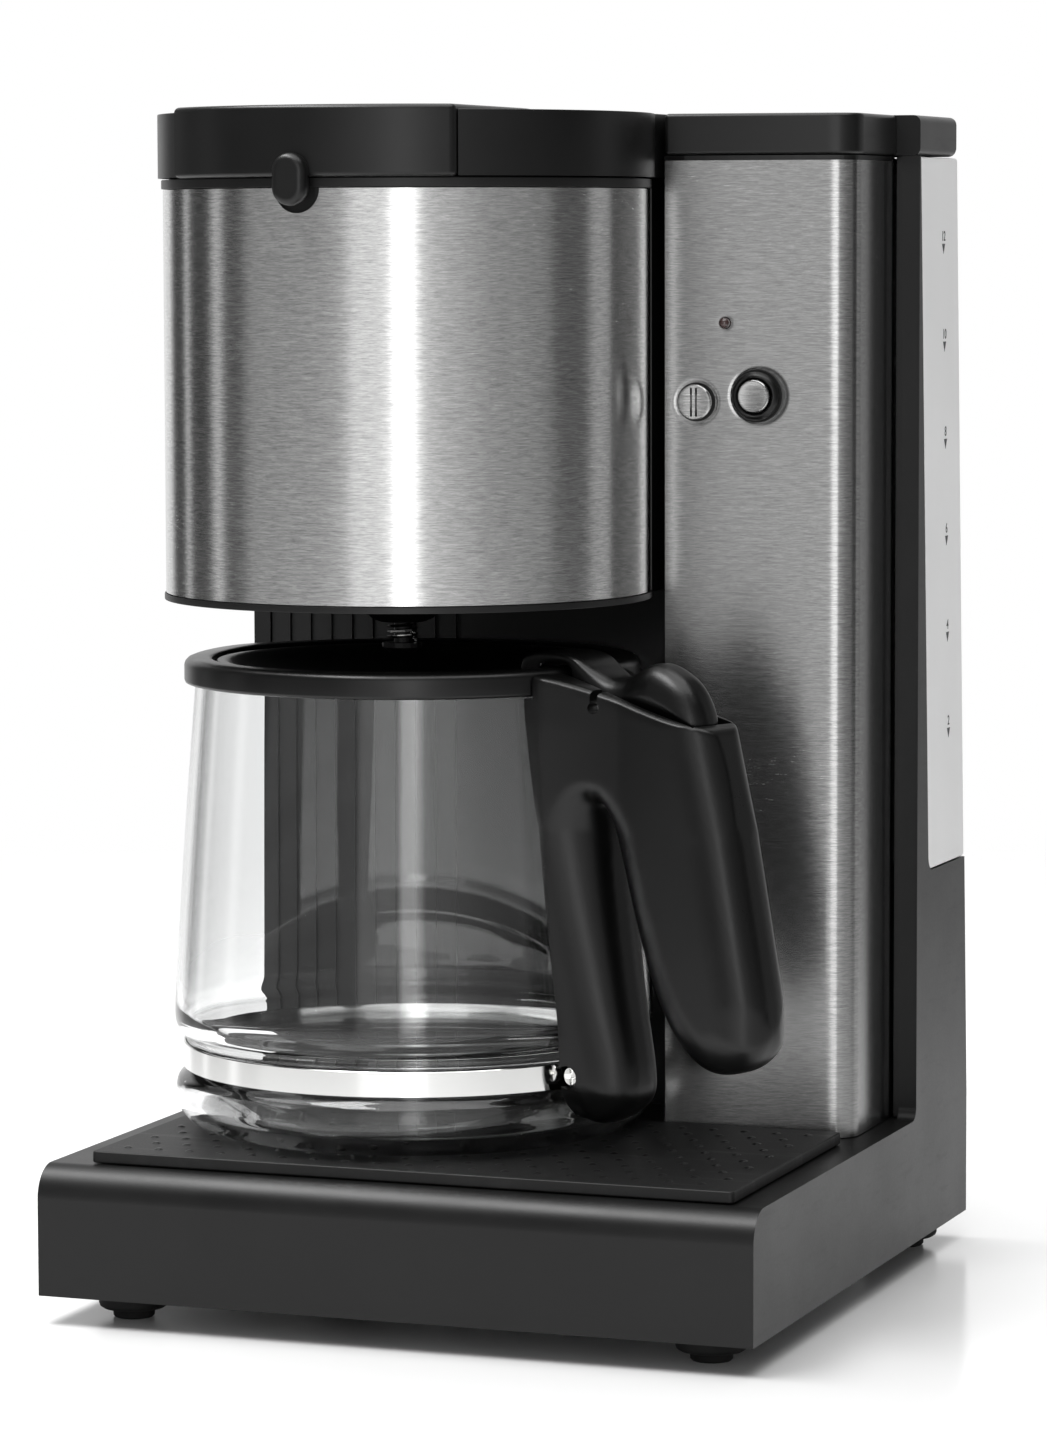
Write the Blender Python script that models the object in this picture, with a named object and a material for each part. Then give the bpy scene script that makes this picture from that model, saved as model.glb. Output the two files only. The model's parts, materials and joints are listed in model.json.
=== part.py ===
"""Drip coffee maker: base, tower, head, carafe and the parts inside them.

Sizes are in millimetres and become metres when a mesh is made. X runs to the right, Y to the back and Z up.
The origin is on the floor, under the middle of the base.
"""
import math

import bmesh
import bpy
from mathutils import Vector

MM = 0.001

# Overall sizes
BASE_WIDTH = 230.0
BASE_DEPTH = 231.5
BASE_HEIGHT = 40.0
FOOT_HEIGHT = 9.0
TOWER_HEIGHT = 348.0                        # top of the side panels, over the base's bottom edge
CAP_HEIGHT = 13.0                           # tower lid, tank lid and the rear of the head cover
HEAD_BOTTOM = TOWER_HEIGHT - 137.0          # underside of the head
HEAD_COVER_BOTTOM = TOWER_HEIGHT - 6.7
BACK_LEAN = 16.0                            # how far the back leans forward between the base and the top

# Walls and clearances
GAP = 0.3
WALL = 2.5
SHEET = 0.9
SIDE_PANEL = 5.8
FRONT_ROUND = 10.0
HALF = BASE_WIDTH / 2
INNER = HALF - SIDE_PANEL                   # inner face of the side panels
FRONT = -BASE_DEPTH / 2
TOP = TOWER_HEIGHT + CAP_HEIGHT

# Tower, measured from the base's front face and the middle of its width
UPRIGHT_FRONT = BASE_DEPTH - 60.5           # front edge of the side panels' upright legs
TOWER_FRONT = UPRIGHT_FRONT - 50.8
TOWER_RADIUS = 178.0                        # the steel front is an arc of this radius
TOWER_CORNER_RADIUS = 8.0
TOWER_SIDE_X = INNER - 2.4
TOWER_LEFT = TOWER_SIDE_X - 60.8
STEEL_TAIL = UPRIGHT_FRONT + 12.0           # where the steel ends behind the side panel
PIPE_Y = UPRIGHT_FRONT + 25.0               # where the heater's ends meet the pipes

# Tank and gauge window
WINDOW_BOTTOM = 119.0
WINDOW_STRIP = 13.0                         # width of the panel in front of the window at its bottom
TANK_LEFT = INNER - 47.2
INLET_X = TANK_LEFT + 22.0                   # the valve under the tank

# Head
HEAD_X = TOWER_LEFT - 75.0
HEAD_Y = TOWER_FRONT - 26.2
DRUM_RADIUS = 76.0
DRUM_TOP = TOWER_HEIGHT - 10.0
DRUM_LIP = 1.5
COVER_PROUD = 1.5
FLAP_LEFT = HEAD_X - 53.0
FLAP_RIGHT = HEAD_X + 42.0
FLAP_RISE = 1.5
HINGE_BACK = 5.0
HEAD_TURN = 25.0                            # degrees past the drum's widest point where the housing runs straight back

# Filter basket
BASKET_X = HEAD_X - 1.0
BASKET_Y = HEAD_Y - 3.0
BASKET_RADIUS = 42.0
BASKET_NECK = 17.5
DRIP_HOLE = 3.2

# Carafe
CARAFE_X = HEAD_X + 2.0
CARAFE_Y = HEAD_Y - 2.0
CARAFE_RADIUS = 75.6
GLASS = 2.4
WAIST_RADIUS = 72.0
MOUTH_RADIUS = 67.8
MOUTH_HEIGHT = 189.0
COLLAR_RADIUS = 71.6
COLLAR_BORE = 62.5
COLLAR_TOP = 192.4
COLLAR_BOTTOM = 184.4
SPOUT_REACH = 3.0
HANDLE_ANGLE = -21.5                        # degrees from +X, seen from above
HANDLE_WIDTH = 26.0
LEVER_WIDTH = 18.0
PIN_REACH = 88.0
PIN_HEIGHT = 181.7
PLATE_TOP = BASE_HEIGHT + 4.0

# Controls, on the steel front
BUTTON_X, BUTTON_Z = TOWER_LEFT + 30.5, TOWER_HEIGHT - 74.5
KNOB_X, KNOB_Z = TOWER_LEFT + 11.0, TOWER_HEIGHT - 76.5
LAMP_X, LAMP_Z = TOWER_LEFT + 20.1, TOWER_HEIGHT - 51.9
BEZEL_RADIUS = 8.3
BUTTON_RADIUS = 5.2
KNOB_RADIUS = 5.6
LAMP_RADIUS = 1.7
BUTTON_TRAVEL = 2.0

BLACK = (0.02, 0.02, 0.021, 1)
STEEL = (0.62, 0.61, 0.59, 1)

for old in list(bpy.data.objects):
    bpy.data.objects.remove(old, do_unlink=True)


def material(name, colour, roughness, metallic=0.0):
    made = bpy.data.materials.new(name)
    made.use_nodes = True
    shader = made.node_tree.nodes["Principled BSDF"]
    shader.inputs["Base Color"].default_value = colour
    shader.inputs["Roughness"].default_value = roughness
    shader.inputs["Metallic"].default_value = metallic
    made.diffuse_color = colour
    return made


def world(x, y, z):
    """A point of the plan, measured from the base's front edge and bottom, in world metres."""
    return Vector((x * MM, (y + FRONT) * MM, (z + FOOT_HEIGHT) * MM))


def add(name, mesh, colour=BLACK, roughness=0.45, metallic=0.0, origin=(0, 0, 0)):
    """Put a mesh, given in world metres, in an object whose origin is at a world point."""
    bmesh.ops.remove_doubles(mesh, verts=mesh.verts, dist=1e-6)
    bmesh.ops.recalc_face_normals(mesh, faces=mesh.faces)
    bmesh.ops.translate(mesh, verts=mesh.verts, vec=-Vector(origin))
    data = bpy.data.meshes.new(name)
    mesh.to_mesh(data)
    mesh.free()
    data.shade_smooth()
    data.set_sharp_from_angle(angle=math.radians(35))
    made = bpy.data.objects.new(name, data)
    bpy.context.scene.collection.objects.link(made)
    data.materials.append(material(name, colour, roughness, metallic))
    made.location = Vector(origin)
    return made


def prism(points, low, high, axis="z"):
    """Extrude an outline. For axis z it lies in plan, for axis x in the side view, for axis y in front."""
    place = {
        "z": lambda u, v, w: world(u, v, w),
        "x": lambda u, v, w: world(w, u, v),
        "y": lambda u, v, w: world(u, w, v),
    }[axis]
    mesh = bmesh.new()
    bottom = [mesh.verts.new(place(u, v, low)) for u, v in points]
    top = [mesh.verts.new(place(u, v, high)) for u, v in points]
    mesh.faces.new(bottom)
    mesh.faces.new(top)
    for i in range(len(points)):
        j = (i + 1) % len(points)
        mesh.faces.new((bottom[i], bottom[j], top[j], top[i]))
    return mesh


def block(x0, x1, y0, y1, z0, z1):
    return prism([(x0, y0), (x1, y0), (x1, y1), (x0, y1)], z0, z1)


def arc(cx, cy, radius, start, end, steps):
    """Points of an arc, with angles in degrees."""
    found = []
    for i in range(steps + 1):
        a = math.radians(start + (end - start) * i / steps)
        found.append((cx + radius * math.cos(a), cy + radius * math.sin(a)))
    return found


def lathe(profile, x, y, steps=48, axis="z"):
    """Turn a closed outline of (radius, height) points. A radius of zero makes a pole."""
    mesh = bmesh.new()
    rings = []
    for radius, height in profile:
        ring = []
        for i in range(1 if radius == 0 else steps):
            a = 2 * math.pi * i / steps
            u, v = radius * math.cos(a), radius * math.sin(a)
            spot = world(x + u, y + v, height) if axis == "z" else world(x + u, height, y + v)
            ring.append(mesh.verts.new(spot))
        rings.append(ring)
    for k in range(len(rings)):
        a, b = rings[k], rings[(k + 1) % len(rings)]
        if len(a) == 1 and len(b) == 1:
            continue
        for i in range(steps):
            j = (i + 1) % steps
            corners = [a[i % len(a)], a[j % len(a)], b[j % len(b)], b[i % len(b)]]
            mesh.faces.new(list(dict.fromkeys(corners)))
    return mesh


def rod(x, z, radius, y0, y1, steps=20):
    """A cylinder along Y."""
    return lathe([(0, y0), (radius, y0), (radius, y1), (0, y1)], x, z, steps, axis="y")


def post(x, y, radius, z0, z1, steps=16):
    """An upright cylinder."""
    return lathe([(0, z0), (radius, z0), (radius, z1), (0, z1)], x, y, steps)


def boolean(target, tool, operation="DIFFERENCE"):
    """Cut or join with a mesh. The tool stays in the file as a hidden guide."""
    guide = add(target.name + "_" + operation.lower() + str(len(target.modifiers)), tool)
    guide.hide_render = True
    guide.display_type = "WIRE"
    step = target.modifiers.new(guide.name, "BOOLEAN")
    step.operation = operation
    step.object = guide
    return guide


def bevel(target, width, segments=2, angle=40):
    step = target.modifiers.new("edges", "BEVEL")
    step.width = width * MM
    step.segments = segments
    step.limit_method = "ANGLE"
    step.angle_limit = math.radians(angle)


def tube(name, points, radius, colour, roughness=0.5, metallic=0.0, sides=2):
    """A round bar or hose through plan points, as a curve with filled caps."""
    data = bpy.data.curves.new(name, "CURVE")
    data.dimensions = "3D"
    data.bevel_depth = radius * MM
    data.bevel_resolution = sides
    data.use_fill_caps = True
    line = data.splines.new("POLY")
    line.points.add(len(points) - 1)
    for spot, (x, y, z) in zip(line.points, points):
        spot.co = (*world(x, y, z), 1)
    made = bpy.data.objects.new(name, data)
    bpy.context.scene.collection.objects.link(made)
    data.materials.append(material(name, colour, roughness, metallic))
    return made


def back_y(z, inset=0.0):
    """The back face: upright along the base, then leaning forward to the top."""
    share = max(0.0, (z - BASE_HEIGHT) / (TOWER_HEIGHT - BASE_HEIGHT))
    return BASE_DEPTH - BACK_LEAN * share - inset


def side_outline(inset, low, high):
    """The base seen from the side, with its rounded front edge."""
    radius = FRONT_ROUND - inset
    top = arc(FRONT_ROUND, high - FRONT_ROUND, radius, 180, 90, 6)
    return [(inset, low)] + top + [(BASE_DEPTH - inset, high - inset), (BASE_DEPTH - inset, low)]


def steel_path(inset, tail):
    """The tower's outer line in plan: arc at the front, tight corner, straight side."""
    cx, cy = TOWER_LEFT + 1, TOWER_FRONT + TOWER_RADIUS
    small = TOWER_CORNER_RADIUS
    end = math.degrees(math.asin((TOWER_SIDE_X - small - cx) / (TOWER_RADIUS - small)))
    front = arc(cx, cy, TOWER_RADIUS - inset, -90.3, -90 + end, 8)
    ox = TOWER_SIDE_X - small
    oy = cy - (TOWER_RADIUS - small) * math.cos(math.radians(end))
    corner = arc(ox, oy, small - inset, -90 + end, 0, 6)[1:]
    return front + corner + [(ox + small - inset, tail)]


def head_outline(grow, left, right, rear, steps=30):
    """The head in plan: a round front that runs into a straight box behind."""
    radius = DRUM_RADIUS + grow
    start = math.degrees(math.acos(min(1, (right - HEAD_X) / radius)))
    end = -180 - math.degrees(math.acos(min(1, (HEAD_X - left) / radius)))
    return [(right, rear)] + arc(HEAD_X, HEAD_Y, radius, start, end, steps) + [(left, rear)]


def ring_sector(inner, outer, start, end, low, high, steps=30):
    """A curved strip round the head's axis."""
    outline = arc(HEAD_X, HEAD_Y, outer, start, end, steps)
    outline += arc(HEAD_X, HEAD_Y, inner, end, start, steps)
    return prism(outline, low, high)


def glass_radius(z):
    """The carafe's outer radius at a height, from the waist up to the mouth."""
    share = (z - 80.0) / (MOUTH_HEIGHT - 80.0)
    return CARAFE_RADIUS - (CARAFE_RADIUS - MOUTH_RADIUS) * share ** 1.15 if share > 0 else CARAFE_RADIUS


def handle_spot(reach, side, height):
    """A world point from the carafe's axis: outward along the handle, sideways and up."""
    a = math.radians(HANDLE_ANGLE)
    x = CARAFE_X + reach * math.cos(a) + side * math.sin(a)
    y = CARAFE_Y + reach * math.sin(a) - side * math.cos(a)
    return world(x, y, height)


def handle_prism(points, half, centre=0.0):
    """An outline in the handle's own plane, extruded to both sides."""
    mesh = bmesh.new()
    near = [mesh.verts.new(handle_spot(s, centre + half, z)) for s, z in points]
    far = [mesh.verts.new(handle_spot(s, centre - half, z)) for s, z in points]
    mesh.faces.new(near)
    mesh.faces.new(far)
    for i in range(len(points)):
        j = (i + 1) % len(points)
        mesh.faces.new((near[i], near[j], far[j], far[i]))
    return mesh


def handle_rod(reach, height, radius, side0, side1, steps=16):
    """A cylinder across the handle."""
    circle = arc(reach, height, radius, 0, 360 * (steps - 1) / steps, steps - 1)
    return handle_prism(circle, (side1 - side0) / 2, (side0 + side1) / 2)


# ---------------------------------------------------------------- base


def make_base():
    shell = add("base_shell", prism(side_outline(0, 0, BASE_HEIGHT), -INNER + GAP, INNER - GAP, "x"))
    hollow = prism(side_outline(WALL, -1, BASE_HEIGHT), -INNER + WALL, INNER - WALL, "x")
    boolean(shell, hollow)
    boolean(shell, block(CARAFE_X - 52, CARAFE_X + 52, CARAFE_Y - 72, CARAFE_Y + 20,
                         BASE_HEIGHT - 10, BASE_HEIGHT + 5))
    boolean(shell, block(-INNER + 12, INNER - 14, UPRIGHT_FRONT + 16, BASE_DEPTH - 10,
                         BASE_HEIGHT - 10, BASE_HEIGHT + 5))
    inside = WALL + GAP
    cover = add("bottom_cover", block(-INNER + inside, INNER - inside, inside, BASE_DEPTH - inside, 0.0, WALL))
    bevel(cover, 0.4, 1)
    plate = add("warming_plate", block(-HALF + 13.5, HALF - 9.5, 10.3, TOWER_FRONT - 0.7, BASE_HEIGHT + GAP, PLATE_TOP),
                (0.03, 0.03, 0.03, 1), 0.6, 0.3)
    bevel(plate, 0.7, 2)


def make_side_panel(name, side):
    """An L-shaped cheek: the base's side with an upright leg at the back."""
    low = side_outline(0, 0, BASE_HEIGHT)[:-2]
    corner = [(UPRIGHT_FRONT - 4, BASE_HEIGHT)] + arc(UPRIGHT_FRONT - 4, BASE_HEIGHT + 4, 4, -90, 0, 3)[1:]
    top = TOWER_HEIGHT
    if side > 0:
        strip = [(UPRIGHT_FRONT, top), (UPRIGHT_FRONT + 1.2, top)]
        ledge = [(UPRIGHT_FRONT + WINDOW_STRIP, WINDOW_BOTTOM), (back_y(WINDOW_BOTTOM), WINDOW_BOTTOM)]
        leg = strip + ledge
    else:
        leg = [(UPRIGHT_FRONT, top), (back_y(top), top)]
    outline = low + corner + leg + [(back_y(BASE_HEIGHT), BASE_HEIGHT), (BASE_DEPTH, 0)]
    span = sorted((side * INNER, side * HALF))
    panel = add(name, prism(outline, span[0], span[1], "x"))
    bevel(panel, 0.8, 2, 50)


def make_feet():
    places = {
        "foot_front_left": (-HALF + 22.0, 22.0, 10.8),
        "foot_front_right": (HALF - 20.0, 22.0, 10.8),
        "foot_rear_left": (-HALF + 17.0, BASE_DEPTH - 19.5, 12.0),
        "foot_rear_right": (HALF - 17.0, BASE_DEPTH - 19.5, 12.0),
    }
    for name, (x, y, radius) in places.items():
        profile = [(0, -FOOT_HEIGHT), (radius - 5, -FOOT_HEIGHT), (radius - 4.4, -FOOT_HEIGHT + 2.5),
                   (radius - 1.5, -FOOT_HEIGHT + 3.2), (radius, -FOOT_HEIGHT + 4.5), (radius, -GAP), (0, -GAP)]
        add(name, lathe(profile, x, y, 20), (0.03, 0.03, 0.03, 1), 0.8)


def make_heater():
    """The U-shaped heater under the plate, the pipe up to the head and the hose from the tank."""
    reach, bend = 45.0, CARAFE_Y - 20.0
    left, right = CARAFE_X - reach, CARAFE_X + reach
    high, z = BASE_HEIGHT + GAP - 4.6, BASE_HEIGHT - WALL - GAP - 4.2
    path = [(right, PIPE_Y, z), (right, CARAFE_Y + 16, z), (right, CARAFE_Y + 6, high)]
    path += [(x, y, high) for x, y in arc(CARAFE_X, bend, reach, 0, -180, 14)]
    path += [(left, CARAFE_Y + 6, high), (left, CARAFE_Y + 16, z), (left, PIPE_Y, z)]
    tube("heater_tube", path, 4.0, (0.7, 0.7, 0.7, 1), 0.35, 1.0)
    add("thermostat", post(CARAFE_X, bend, 9.0, high - 6, BASE_HEIGHT), (0.75, 0.75, 0.72, 1), 0.4, 1.0)
    over = TOWER_HEIGHT + 5
    rise = [(left, PIPE_Y + 0.6, z), (left, PIPE_Y + 6, z), (left, PIPE_Y + 10, z + 4), (left, PIPE_Y + 10, 120.0),
            (left, PIPE_Y + 8, TOWER_HEIGHT - 2), (left, PIPE_Y + 4, TOWER_HEIGHT + 3.5), (left, PIPE_Y - 6, over),
            (left + 26, PIPE_Y - 34, over), (left + 36, PIPE_Y - 48, over)]
    tube("riser_tube", rise, 3.6, (0.75, 0.75, 0.72, 1), 0.4)
    low, y = WINDOW_BOTTOM - 15.0, PIPE_Y + 9
    profile = [(0, low), (5.0, low), (5.0, low + 6), (8.0, low + 6), (8.0, low + 17.4), (0, low + 17.4)]
    add("inlet_valve", lathe(profile, INLET_X, y, 20), (0.8, 0.8, 0.78, 1), 0.4)
    hose = [(INLET_X, y, low - 0.4), (INLET_X, y, low - 24), (INLET_X - 2, y, 62), (INLET_X - 10, y, 50),
            (INLET_X - 26, y + 2, 42), (INLET_X - 42, y + 5, 36), (INLET_X - 56, y + 5, z + 0.3),
            (right + 2, y + 2, z), (right, PIPE_Y + 6, z), (right, PIPE_Y + 0.5, z)]
    tube("inlet_hose", hose, 3.6, (0.75, 0.75, 0.72, 1), 0.5)


# ---------------------------------------------------------------- tower


def make_tower():
    low, high = BASE_HEIGHT + GAP, TOWER_HEIGHT - 1.5
    outer, inner = steel_path(0, STEEL_TAIL), steel_path(SHEET, STEEL_TAIL)
    steel = add("steel_panel", prism(outer + inner[::-1], low, high), STEEL, 0.3, 1.0)
    for x, z, radius in ((BUTTON_X, BUTTON_Z, BEZEL_RADIUS), (KNOB_X, KNOB_Z, 2.8), (LAMP_X, LAMP_Z, LAMP_RADIUS)):
        boolean(steel, rod(x, z, radius + GAP, TOWER_FRONT - 10, TOWER_FRONT + 20))
    back = UPRIGHT_FRONT - GAP
    skin, core = SHEET + GAP, SHEET + GAP + WALL
    left = TOWER_LEFT + 0.2
    outline = [(left, back), (left, TOWER_FRONT + skin + 1)] + steel_path(skin, back)[1:]
    outline += steel_path(core, back)[::-1][:-1] + [(left + WALL, TOWER_FRONT + core + 1), (left + WALL, back)]
    shell = add("tower_shell", prism(outline, low, TOWER_HEIGHT))
    for x, z, radius in ((BUTTON_X, BUTTON_Z, BEZEL_RADIUS), (KNOB_X, KNOB_Z, 2.8), (LAMP_X, LAMP_Z, LAMP_RADIUS)):
        boolean(shell, rod(x, z, radius + GAP, TOWER_FRONT - 10, TOWER_FRONT + 20))


def make_rear_housing():
    """The black wall behind the carafe, with upright ribs, and the walls that run back from it."""
    low, high = BASE_HEIGHT + GAP, TOWER_HEIGHT
    left, right = -INNER + GAP, TOWER_SIDE_X - SHEET - GAP
    front = UPRIGHT_FRONT + 1.0
    rear = back_y(TOWER_HEIGHT, WALL + 2 * GAP)
    outline = [(left, rear), (left, front), (right, front), (right, front + WALL)]
    outline += [(left + WALL, front + WALL), (left + WALL, rear)]
    housing = add("rear_housing", prism(outline, low, high))
    for i in range(9):
        x = left + 6.5 + 7.4 * i
        boolean(housing, block(x, x + 2.2, front - 1, front + 1.0, low - 1, HEAD_BOTTOM + 40))


def make_back_cover():
    low = BASE_HEIGHT + GAP
    outline = [(back_y(low, WALL), low), (back_y(low), low), (back_y(TOWER_HEIGHT), TOWER_HEIGHT),
               (back_y(TOWER_HEIGHT, WALL), TOWER_HEIGHT)]
    cover = add("back_cover", prism(outline, -INNER + GAP, INNER - GAP, "x"))
    for i in range(6):
        z = 70.0 + 9.0 * i
        boolean(cover, block(-40, 40, back_y(z) - 8, back_y(z) + 8, z, z + 3.5))
    x, z = -INNER + 29.2, BASE_HEIGHT + 22.0
    y = back_y(z)
    boolean(cover, rod(x, z, 6.0 + GAP, y - 12, y + 12))
    gland = lathe([(3.6, y - 6), (8.5, y - 6), (8.5, y - WALL - 0.9), (6.0, y - WALL - 0.9), (6.0, y + 0.4),
                   (3.6, y + 0.4)], x, z, 20, axis="y")
    add("cord_gland", gland, (0.03, 0.03, 0.03, 1), 0.7)


def make_tank():
    top, low = TOWER_HEIGHT - 0.6, WINDOW_BOTTOM + GAP
    front_low = UPRIGHT_FRONT + WINDOW_STRIP + GAP
    front_high = UPRIGHT_FRONT + 1.2 + GAP
    window = add("tank_window", prism([(front_low, low), (front_high, top), (back_y(top), top),
                                       (back_y(low), low)], INNER + GAP, HALF, "x"), (0.9, 0.92, 0.9, 0.5), 0.3)
    bevel(window, 0.6, 2, 50)
    front = front_low + 3
    right = INNER - GAP
    gap = WALL + 2 * GAP

    def outline(inset, z0, z1):
        return [(front + inset, z0), (front + inset, z1), (back_y(z1, gap + inset), z1),
                (back_y(z0, gap + inset), z0)]

    tank = add("water_tank", prism(outline(0, low + 3, top), TANK_LEFT, right, "x"), (0.9, 0.92, 0.9, 0.5), 0.3)
    boolean(tank, prism(outline(2.0, low + 5, top + 2), TANK_LEFT + 2, right - 2, "x"))


def make_lids():
    """Fixed covers over the tower and the head, and the two lids that open."""
    low = TOWER_HEIGHT + GAP
    back = UPRIGHT_FRONT - GAP
    lid = add("tower_lid", prism([(TOWER_LEFT - 1, back)] + steel_path(-0.8, back), low, TOP))
    bevel(lid, 2.2, 3, 50)

    left = -HALF
    grow = COVER_PROUD
    front_outline = head_outline(grow, HEAD_X - DRUM_RADIUS - grow + 0.4, TOWER_LEFT - 1.4, UPRIGHT_FRONT + 0.5)
    cover = add("head_cover", prism(front_outline, HEAD_COVER_BOTTOM, TOP))
    rear = [(left, UPRIGHT_FRONT), (TANK_LEFT - 1, UPRIGHT_FRONT), (TANK_LEFT - 1, back_y(TOWER_HEIGHT)),
            (left, back_y(TOWER_HEIGHT))]
    boolean(cover, prism(rear, low, TOP), "UNION")
    hollow = head_outline(grow - WALL, HEAD_X - DRUM_RADIUS - grow + 0.4 + WALL, TOWER_LEFT - 1.4 - WALL,
                          UPRIGHT_FRONT + 7)
    boolean(cover, prism(hollow, HEAD_COVER_BOTTOM - 1, TOP - WALL))
    inner = [(left + WALL, UPRIGHT_FRONT + WALL), (TANK_LEFT - 1 - WALL, UPRIGHT_FRONT + WALL),
             (TANK_LEFT - 1 - WALL, back_y(TOWER_HEIGHT) - WALL), (left + WALL, back_y(TOWER_HEIGHT) - WALL)]
    boolean(cover, prism(inner, low - 1, TOP - WALL))
    boolean(cover, prism(flap_outline(0.4, 40), HEAD_COVER_BOTTOM - 5, TOP + 5))
    px, py = flap_hinge()
    boolean(cover, block(px - 16, px + 16, py - 12, py + 4.5, TOP - 9, TOP + 3))
    bevel(cover, 1.4, 1, 60)
    make_head_lid()
    make_tank_lid()


def flap_centre():
    return (FLAP_LEFT + FLAP_RIGHT) / 2


def flap_hinge():
    """Plan place of the flap's hinge: behind its round rear end."""
    half = (FLAP_RIGHT - FLAP_LEFT) / 2
    return flap_centre(), HEAD_Y - 6 + half + HINGE_BACK - 1.5


def flap_outline(grow, reach):
    """The flap in plan: open or round front, straight sides and a round rear end."""
    half = (FLAP_RIGHT - FLAP_LEFT) / 2 + grow
    rear = arc(flap_centre(), HEAD_Y - 6, half, 0, 180, 16)
    if reach:
        front = [(flap_centre() - half, HEAD_Y - DRUM_RADIUS - reach),
                 (flap_centre() + half, HEAD_Y - DRUM_RADIUS - reach)]
        return rear + front
    radius = DRUM_RADIUS + COVER_PROUD + FLAP_RISE
    first = -180 + math.degrees(math.acos((HEAD_X - (flap_centre() - half)) / radius))
    last = -math.degrees(math.acos((flap_centre() + half - HEAD_X) / radius))
    return rear + arc(HEAD_X, HEAD_Y, radius, first, last, 20)


def make_head_lid():
    """The flap: a flat top, a curved front skirt, a thumb tab and a hinge knuckle."""
    px, py = flap_hinge()
    pz = TOP - 2.6
    top = TOP + FLAP_RISE
    origin = world(px, py, pz)
    lid = add("head_lid", prism(flap_outline(-0.4, 0), TOP - 1.2, top), origin=origin)
    half = (FLAP_RIGHT - FLAP_LEFT) / 2 - 0.4
    radius = DRUM_RADIUS + COVER_PROUD + FLAP_RISE
    first = -180 + math.degrees(math.acos((HEAD_X - (flap_centre() - half)) / radius))
    last = -math.degrees(math.acos((flap_centre() + half - HEAD_X) / radius))
    skirt = ring_sector(radius - WALL, radius, first + 0.3, last - 0.3, HEAD_COVER_BOTTOM - 0.3, TOP, 20)
    boolean(lid, skirt, "UNION")
    tab = []
    for x, z, begin in ((px, HEAD_COVER_BOTTOM + 0.7, 0), (px, HEAD_COVER_BOTTOM - 3.7, 180)):
        tab += arc(x, z, 6.0, begin, begin + 180, 8)
    front = HEAD_Y - radius
    boolean(lid, prism(tab, front - 4.5, front + 1.6, "y"), "UNION")
    boolean(lid, block(px - 14, px + 14, py - 14, py, TOP - 1.0, top - 0.4), "UNION")
    barrel = prism(arc(py, pz, 2.6, 0, 360 * 15 / 16, 15), px - 14, px + 14, "x")
    boolean(lid, barrel, "UNION")
    boolean(lid, prism(arc(py, pz, 1.3, 0, 360 * 11 / 12, 11), px - 20, px + 20, "x"))
    pin = prism(arc(py, pz, 1.2, 0, 360 * 11 / 12, 11), px - 15.6, px + 15.6, "x")
    add("head_lid_pin", pin, STEEL, 0.3, 1.0)
    spray = lathe([(0, TOP - 9), (4, TOP - 10), (24, TOP - 10), (26, TOP - 8), (26, TOP - 5.5), (8, TOP - 1.6),
                   (0, TOP - 1.6)], BASKET_X, BASKET_Y, 20)
    add("spray_head", spray, (0.05, 0.05, 0.05, 1), 0.5, origin=origin)


def make_tank_lid():
    """The cap over the tank, hinged along the back."""
    low = TOWER_HEIGHT + GAP
    y0, y1 = UPRIGHT_FRONT + GAP, back_y(TOWER_HEIGHT)
    knuckle = 3.2
    py, pz = y1 - knuckle, low + knuckle
    origin = world((TANK_LEFT + HALF) / 2, py, pz)
    outline = [(y0, low)] + arc(py, pz, knuckle, -90, 0, 5) + [(y1, TOP), (y0, TOP)]
    lid = add("tank_lid", prism(outline, TANK_LEFT - 0.4, HALF, "x"), origin=origin)
    boolean(lid, block(TANK_LEFT + 2.5, HALF - 3, y0 + 3, y1 - 9, low - 2, TOP - 2.5))
    bevel(lid, 2.2, 3, 50)
    boolean(lid, prism(arc(py, pz, 1.5, 0, 360 * 11 / 12, 11), TANK_LEFT + 5, HALF - 5, "x"))
    boolean(lid, prism([(py - 1.5, low - 3), (py + 1.5, low - 3), (py + 1.5, pz), (py - 1.5, pz)],
                       TANK_LEFT + 5, HALF - 5, "x"))
    pin = prism(arc(py, pz, 1.2, 0, 360 * 11 / 12, 11), TANK_LEFT + 6, HALF - 6, "x")
    add("tank_lid_pin", pin, STEEL, 0.3, 1.0)


# ---------------------------------------------------------------- controls


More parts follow.
